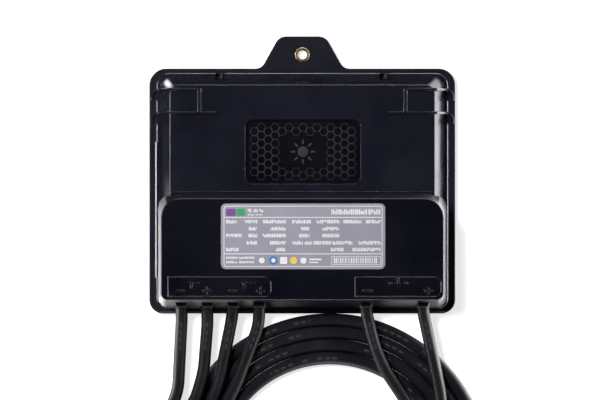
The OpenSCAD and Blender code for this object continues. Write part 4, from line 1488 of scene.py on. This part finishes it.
sockets, plugs = [], []
for i, line in enumerate(LINES):
    gland_nut(i, line)
    clamping_cage(i, line)
    if i % 2 == 0:
        sockets += socket_body(i)
    else:
        plugs += plug_body(i)
deliver(join("socket_halves", sockets), "socket_bodies")
deliver(join("plug_halves", plugs), "plug_bodies")

# ---------------------------------------------------------------- remaining frame nodes
NODE_MATS = {
    "shell_gasket": "gasket", "shell_screws": "steel", "heat_spreader": "alu",
    "thermal_pads": "pad", "circuit_board": "board", "board_screws": "steel",
    "inductor_cores": "ferrite", "inductor_windings": "copper", "choke_core": "core",
    "choke_winding": "copper", "input_capacitors": "film", "output_capacitors": "can",
    "power_transistors": "chip", "bypass_diodes": "chip", "controller_chip": "chip",
    "gate_drivers": "chip", "current_shunts": "tin", "cable_terminals": "tin",
    "conductor_ends": "tin", "clamp_bars": "inner", "clamp_screws": "steel",
    "socket_contacts": "contact", "pin_contacts": "contact", "cable_seals": "seal",
    "nose_rings": "seal"}
for node, mat in NODE_MATS.items():
    for slot in frame["nodes"][node].material_slots:
        slot.link = "OBJECT"
        slot.material = MATS[mat]

# ---------------------------------------------------------------- floor (metres)
FLOOR_BOUNCE = 0.85             # how much light the floor sends back to the object
FLOOR_GLOW = 0.72               # own light, seen by the camera only
PAINTED_GLINT, PAINTED_SIDE_SHINE = 20.0, 4.6          # strengths of two glowing floor patches: painted highlights seen only in reflections


def floor_material():
    m = Mat("floor_paper", (0.86, 0.86, 0.87), rough=0.9, spec=0.1)
    tint = m.mix(m.ramp(m.noise(scale=90), across=(0.3, 0.7)),
                 (0.855, 0.857, 0.865), (0.875, 0.875, 0.88))
    rays = m.node("ShaderNodeLightPath").outputs
    position = m.node("ShaderNodeNewGeometry").outputs["Position"]
    place = m.split(position)
    # unseen by the camera, the floor is painted dark at -X of the upper body and beyond its +Y
    # end: painted shade for the slopes that mirror it
    left = m.math("MULTIPLY", m.ramp(place["X"], across=(-0.070, -0.078)),
                  m.ramp(place["Y"], across=(-0.004, 0.010)))
    painted_dark_patch = m.math("MAXIMUM", left, m.ramp(place["Y"], across=(0.060, 0.066)))
    unseen = m.mix(painted_dark_patch, (FLOOR_BOUNCE, FLOOR_BOUNCE, FLOOR_BOUNCE * 1.02), (0.02, 0.02, 0.02))
    m.colour(m.mix(rays["Is Camera Ray"], unseen, tint))
    glow = m.math("MULTIPLY", rays["Is Camera Ray"], FLOOR_GLOW)
    # glowing floor patches seen only in glossy reflections: a painted glint past the -X, +Y
    # corner and a painted reflection along the +X side
    distance = m.node("ShaderNodeVectorMath", operation="DISTANCE")
    m.link(position, distance.inputs[0])
    distance.inputs[1].default_value = (-0.0815, 0.0655, 0.0)
    glint_patch = m.ramp(distance.outputs["Value"], across=(0.003, 0.008), to=(PAINTED_GLINT, 0))
    side = m.ramp(place["X"], across=(0.070, 0.078), to=(0, PAINTED_SIDE_SHINE))
    shine = m.math("MULTIPLY", m.math("ADD", glint_patch, side), rays["Is Glossy Ray"])
    m.link(m.math("ADD", glow, shine), m.inputs["Emission Strength"])
    m.material.cycles.emission_sampling = "NONE"
    m.inputs["Emission Color"].default_value = (1, 1, 1, 1)
    m.bump(m.noise(scale=900, detail=2), strength=0.02, distance=0.0001)
    return m.material


def make_floor():
    n, size, z = 24, 4.0, -0.0002
    v = [((i / n - 0.5) * size, (j / n - 0.5) * size, z)
         for i in range(n + 1) for j in range(n + 1)]
    f = []
    for i in range(n):
        for j in range(n):
            a = i * (n + 1) + j
            f.append((a, a + n + 1, a + n + 2, a + 1))
    me = bpy.data.meshes.new("floor")
    me.from_pydata(v, [], f)
    ob = mesh_object("floor", me)
    me.materials.append(floor_material())
    return ob


# the low strips light the object's edges and leave the floor alone
UNLIT = bpy.data.collections.new("floor_unlit_by_strips")
UNLIT.objects.link(make_floor())
UNLIT.collection_objects[0].light_linking.link_state = "EXCLUDE"


# ---------------------------------------------------------------- lights, room and camera
def area(name, location, target, size, power, colour):
    lamp = bpy.data.lights.new(name, "AREA")
    lamp.shape = "RECTANGLE"
    lamp.size, lamp.size_y = size
    lamp.energy = power
    lamp.color = colour
    ob = mesh_object(name, lamp)
    ob.location = location
    direction = Vector(target) - Vector(location)
    ob.rotation_euler = direction.to_track_quat("-Z", "Y").to_euler()
    ob.visible_camera = False
    return ob


key = area("key", location=(-0.40, 0.29, 1.02), target=(-0.03, 0.02, 0), size=(0.34, 0.28),
           power=15.0, colour=(1.0, 0.99, 0.97))
key.visible_glossy = False      # it lights, but doesn't mirror in the plastic

# name, location, power, colour
STRIPS = [
    ("strip_left", (-1.15, 0.02, 0.04), 19, (1, 1, 1)),
    ("strip_right", (1.15, 0.02, 0.06), 15, (0.97, 0.98, 1.0)),
    ("strip_back", (0.0, 1.2, 0.04), 8, (1, 1, 1)),
    ("strip_front", (0.0, -1.2, 0.05), 7, (1, 1, 1))]
for name, location, power, colour in STRIPS:
    strip = area(name, location, target=(0, 0, 0.01), size=(0.9, 0.12), power=power,
                 colour=colour)
    strip.visible_diffuse = False
    strip.light_linking.receiver_collection = UNLIT


def room():
    """Dim straight overhead, where the camera stands, and pale towards the walls."""
    world = bpy.data.worlds.new("room")
    scene.world = world
    world.use_nodes = True
    nodes, links = world.node_tree.nodes, world.node_tree.links
    background = next(n for n in nodes if n.type == "BACKGROUND")
    background.inputs["Color"].default_value = (0.96, 0.97, 1.0, 1)
    coords = nodes.new("ShaderNodeTexCoord")
    split = nodes.new("ShaderNodeSeparateXYZ")
    ramp = nodes.new("ShaderNodeMapRange")
    links.new(coords.outputs["Generated"], split.inputs["Vector"])
    links.new(split.outputs["Z"], ramp.inputs["Value"])
    for socket, value in (("From Min", 0.10), ("From Max", 0.60), ("To Min", 0.24),
                          ("To Max", 0.015)):
        ramp.inputs[socket].default_value = value
    # seen directly, the room is at full strength
    rays = nodes.new("ShaderNodeLightPath")
    strength = nodes.new("ShaderNodeMath")
    strength.operation = "MAXIMUM"
    links.new(ramp.outputs["Result"], strength.inputs[0])
    links.new(rays.outputs["Is Camera Ray"], strength.inputs[1])
    links.new(strength.outputs[0], background.inputs["Strength"])


def camera():
    """Looks straight down from far off."""
    distance, view_width, sensor = 4.0, 0.3048, 36.0
    cam = bpy.data.cameras.new("camera")
    cam.sensor_width = sensor
    cam.lens = sensor * distance / view_width
    cam.clip_end = 20
    ob = mesh_object("camera", cam)
    ob.location = (-0.0012, -0.0046, distance + 0.014)
    scene.camera = ob


room()
camera()
scene.view_settings.view_transform = "Standard"
scene.view_settings.look = "None"
scene.view_settings.exposure = 0.0
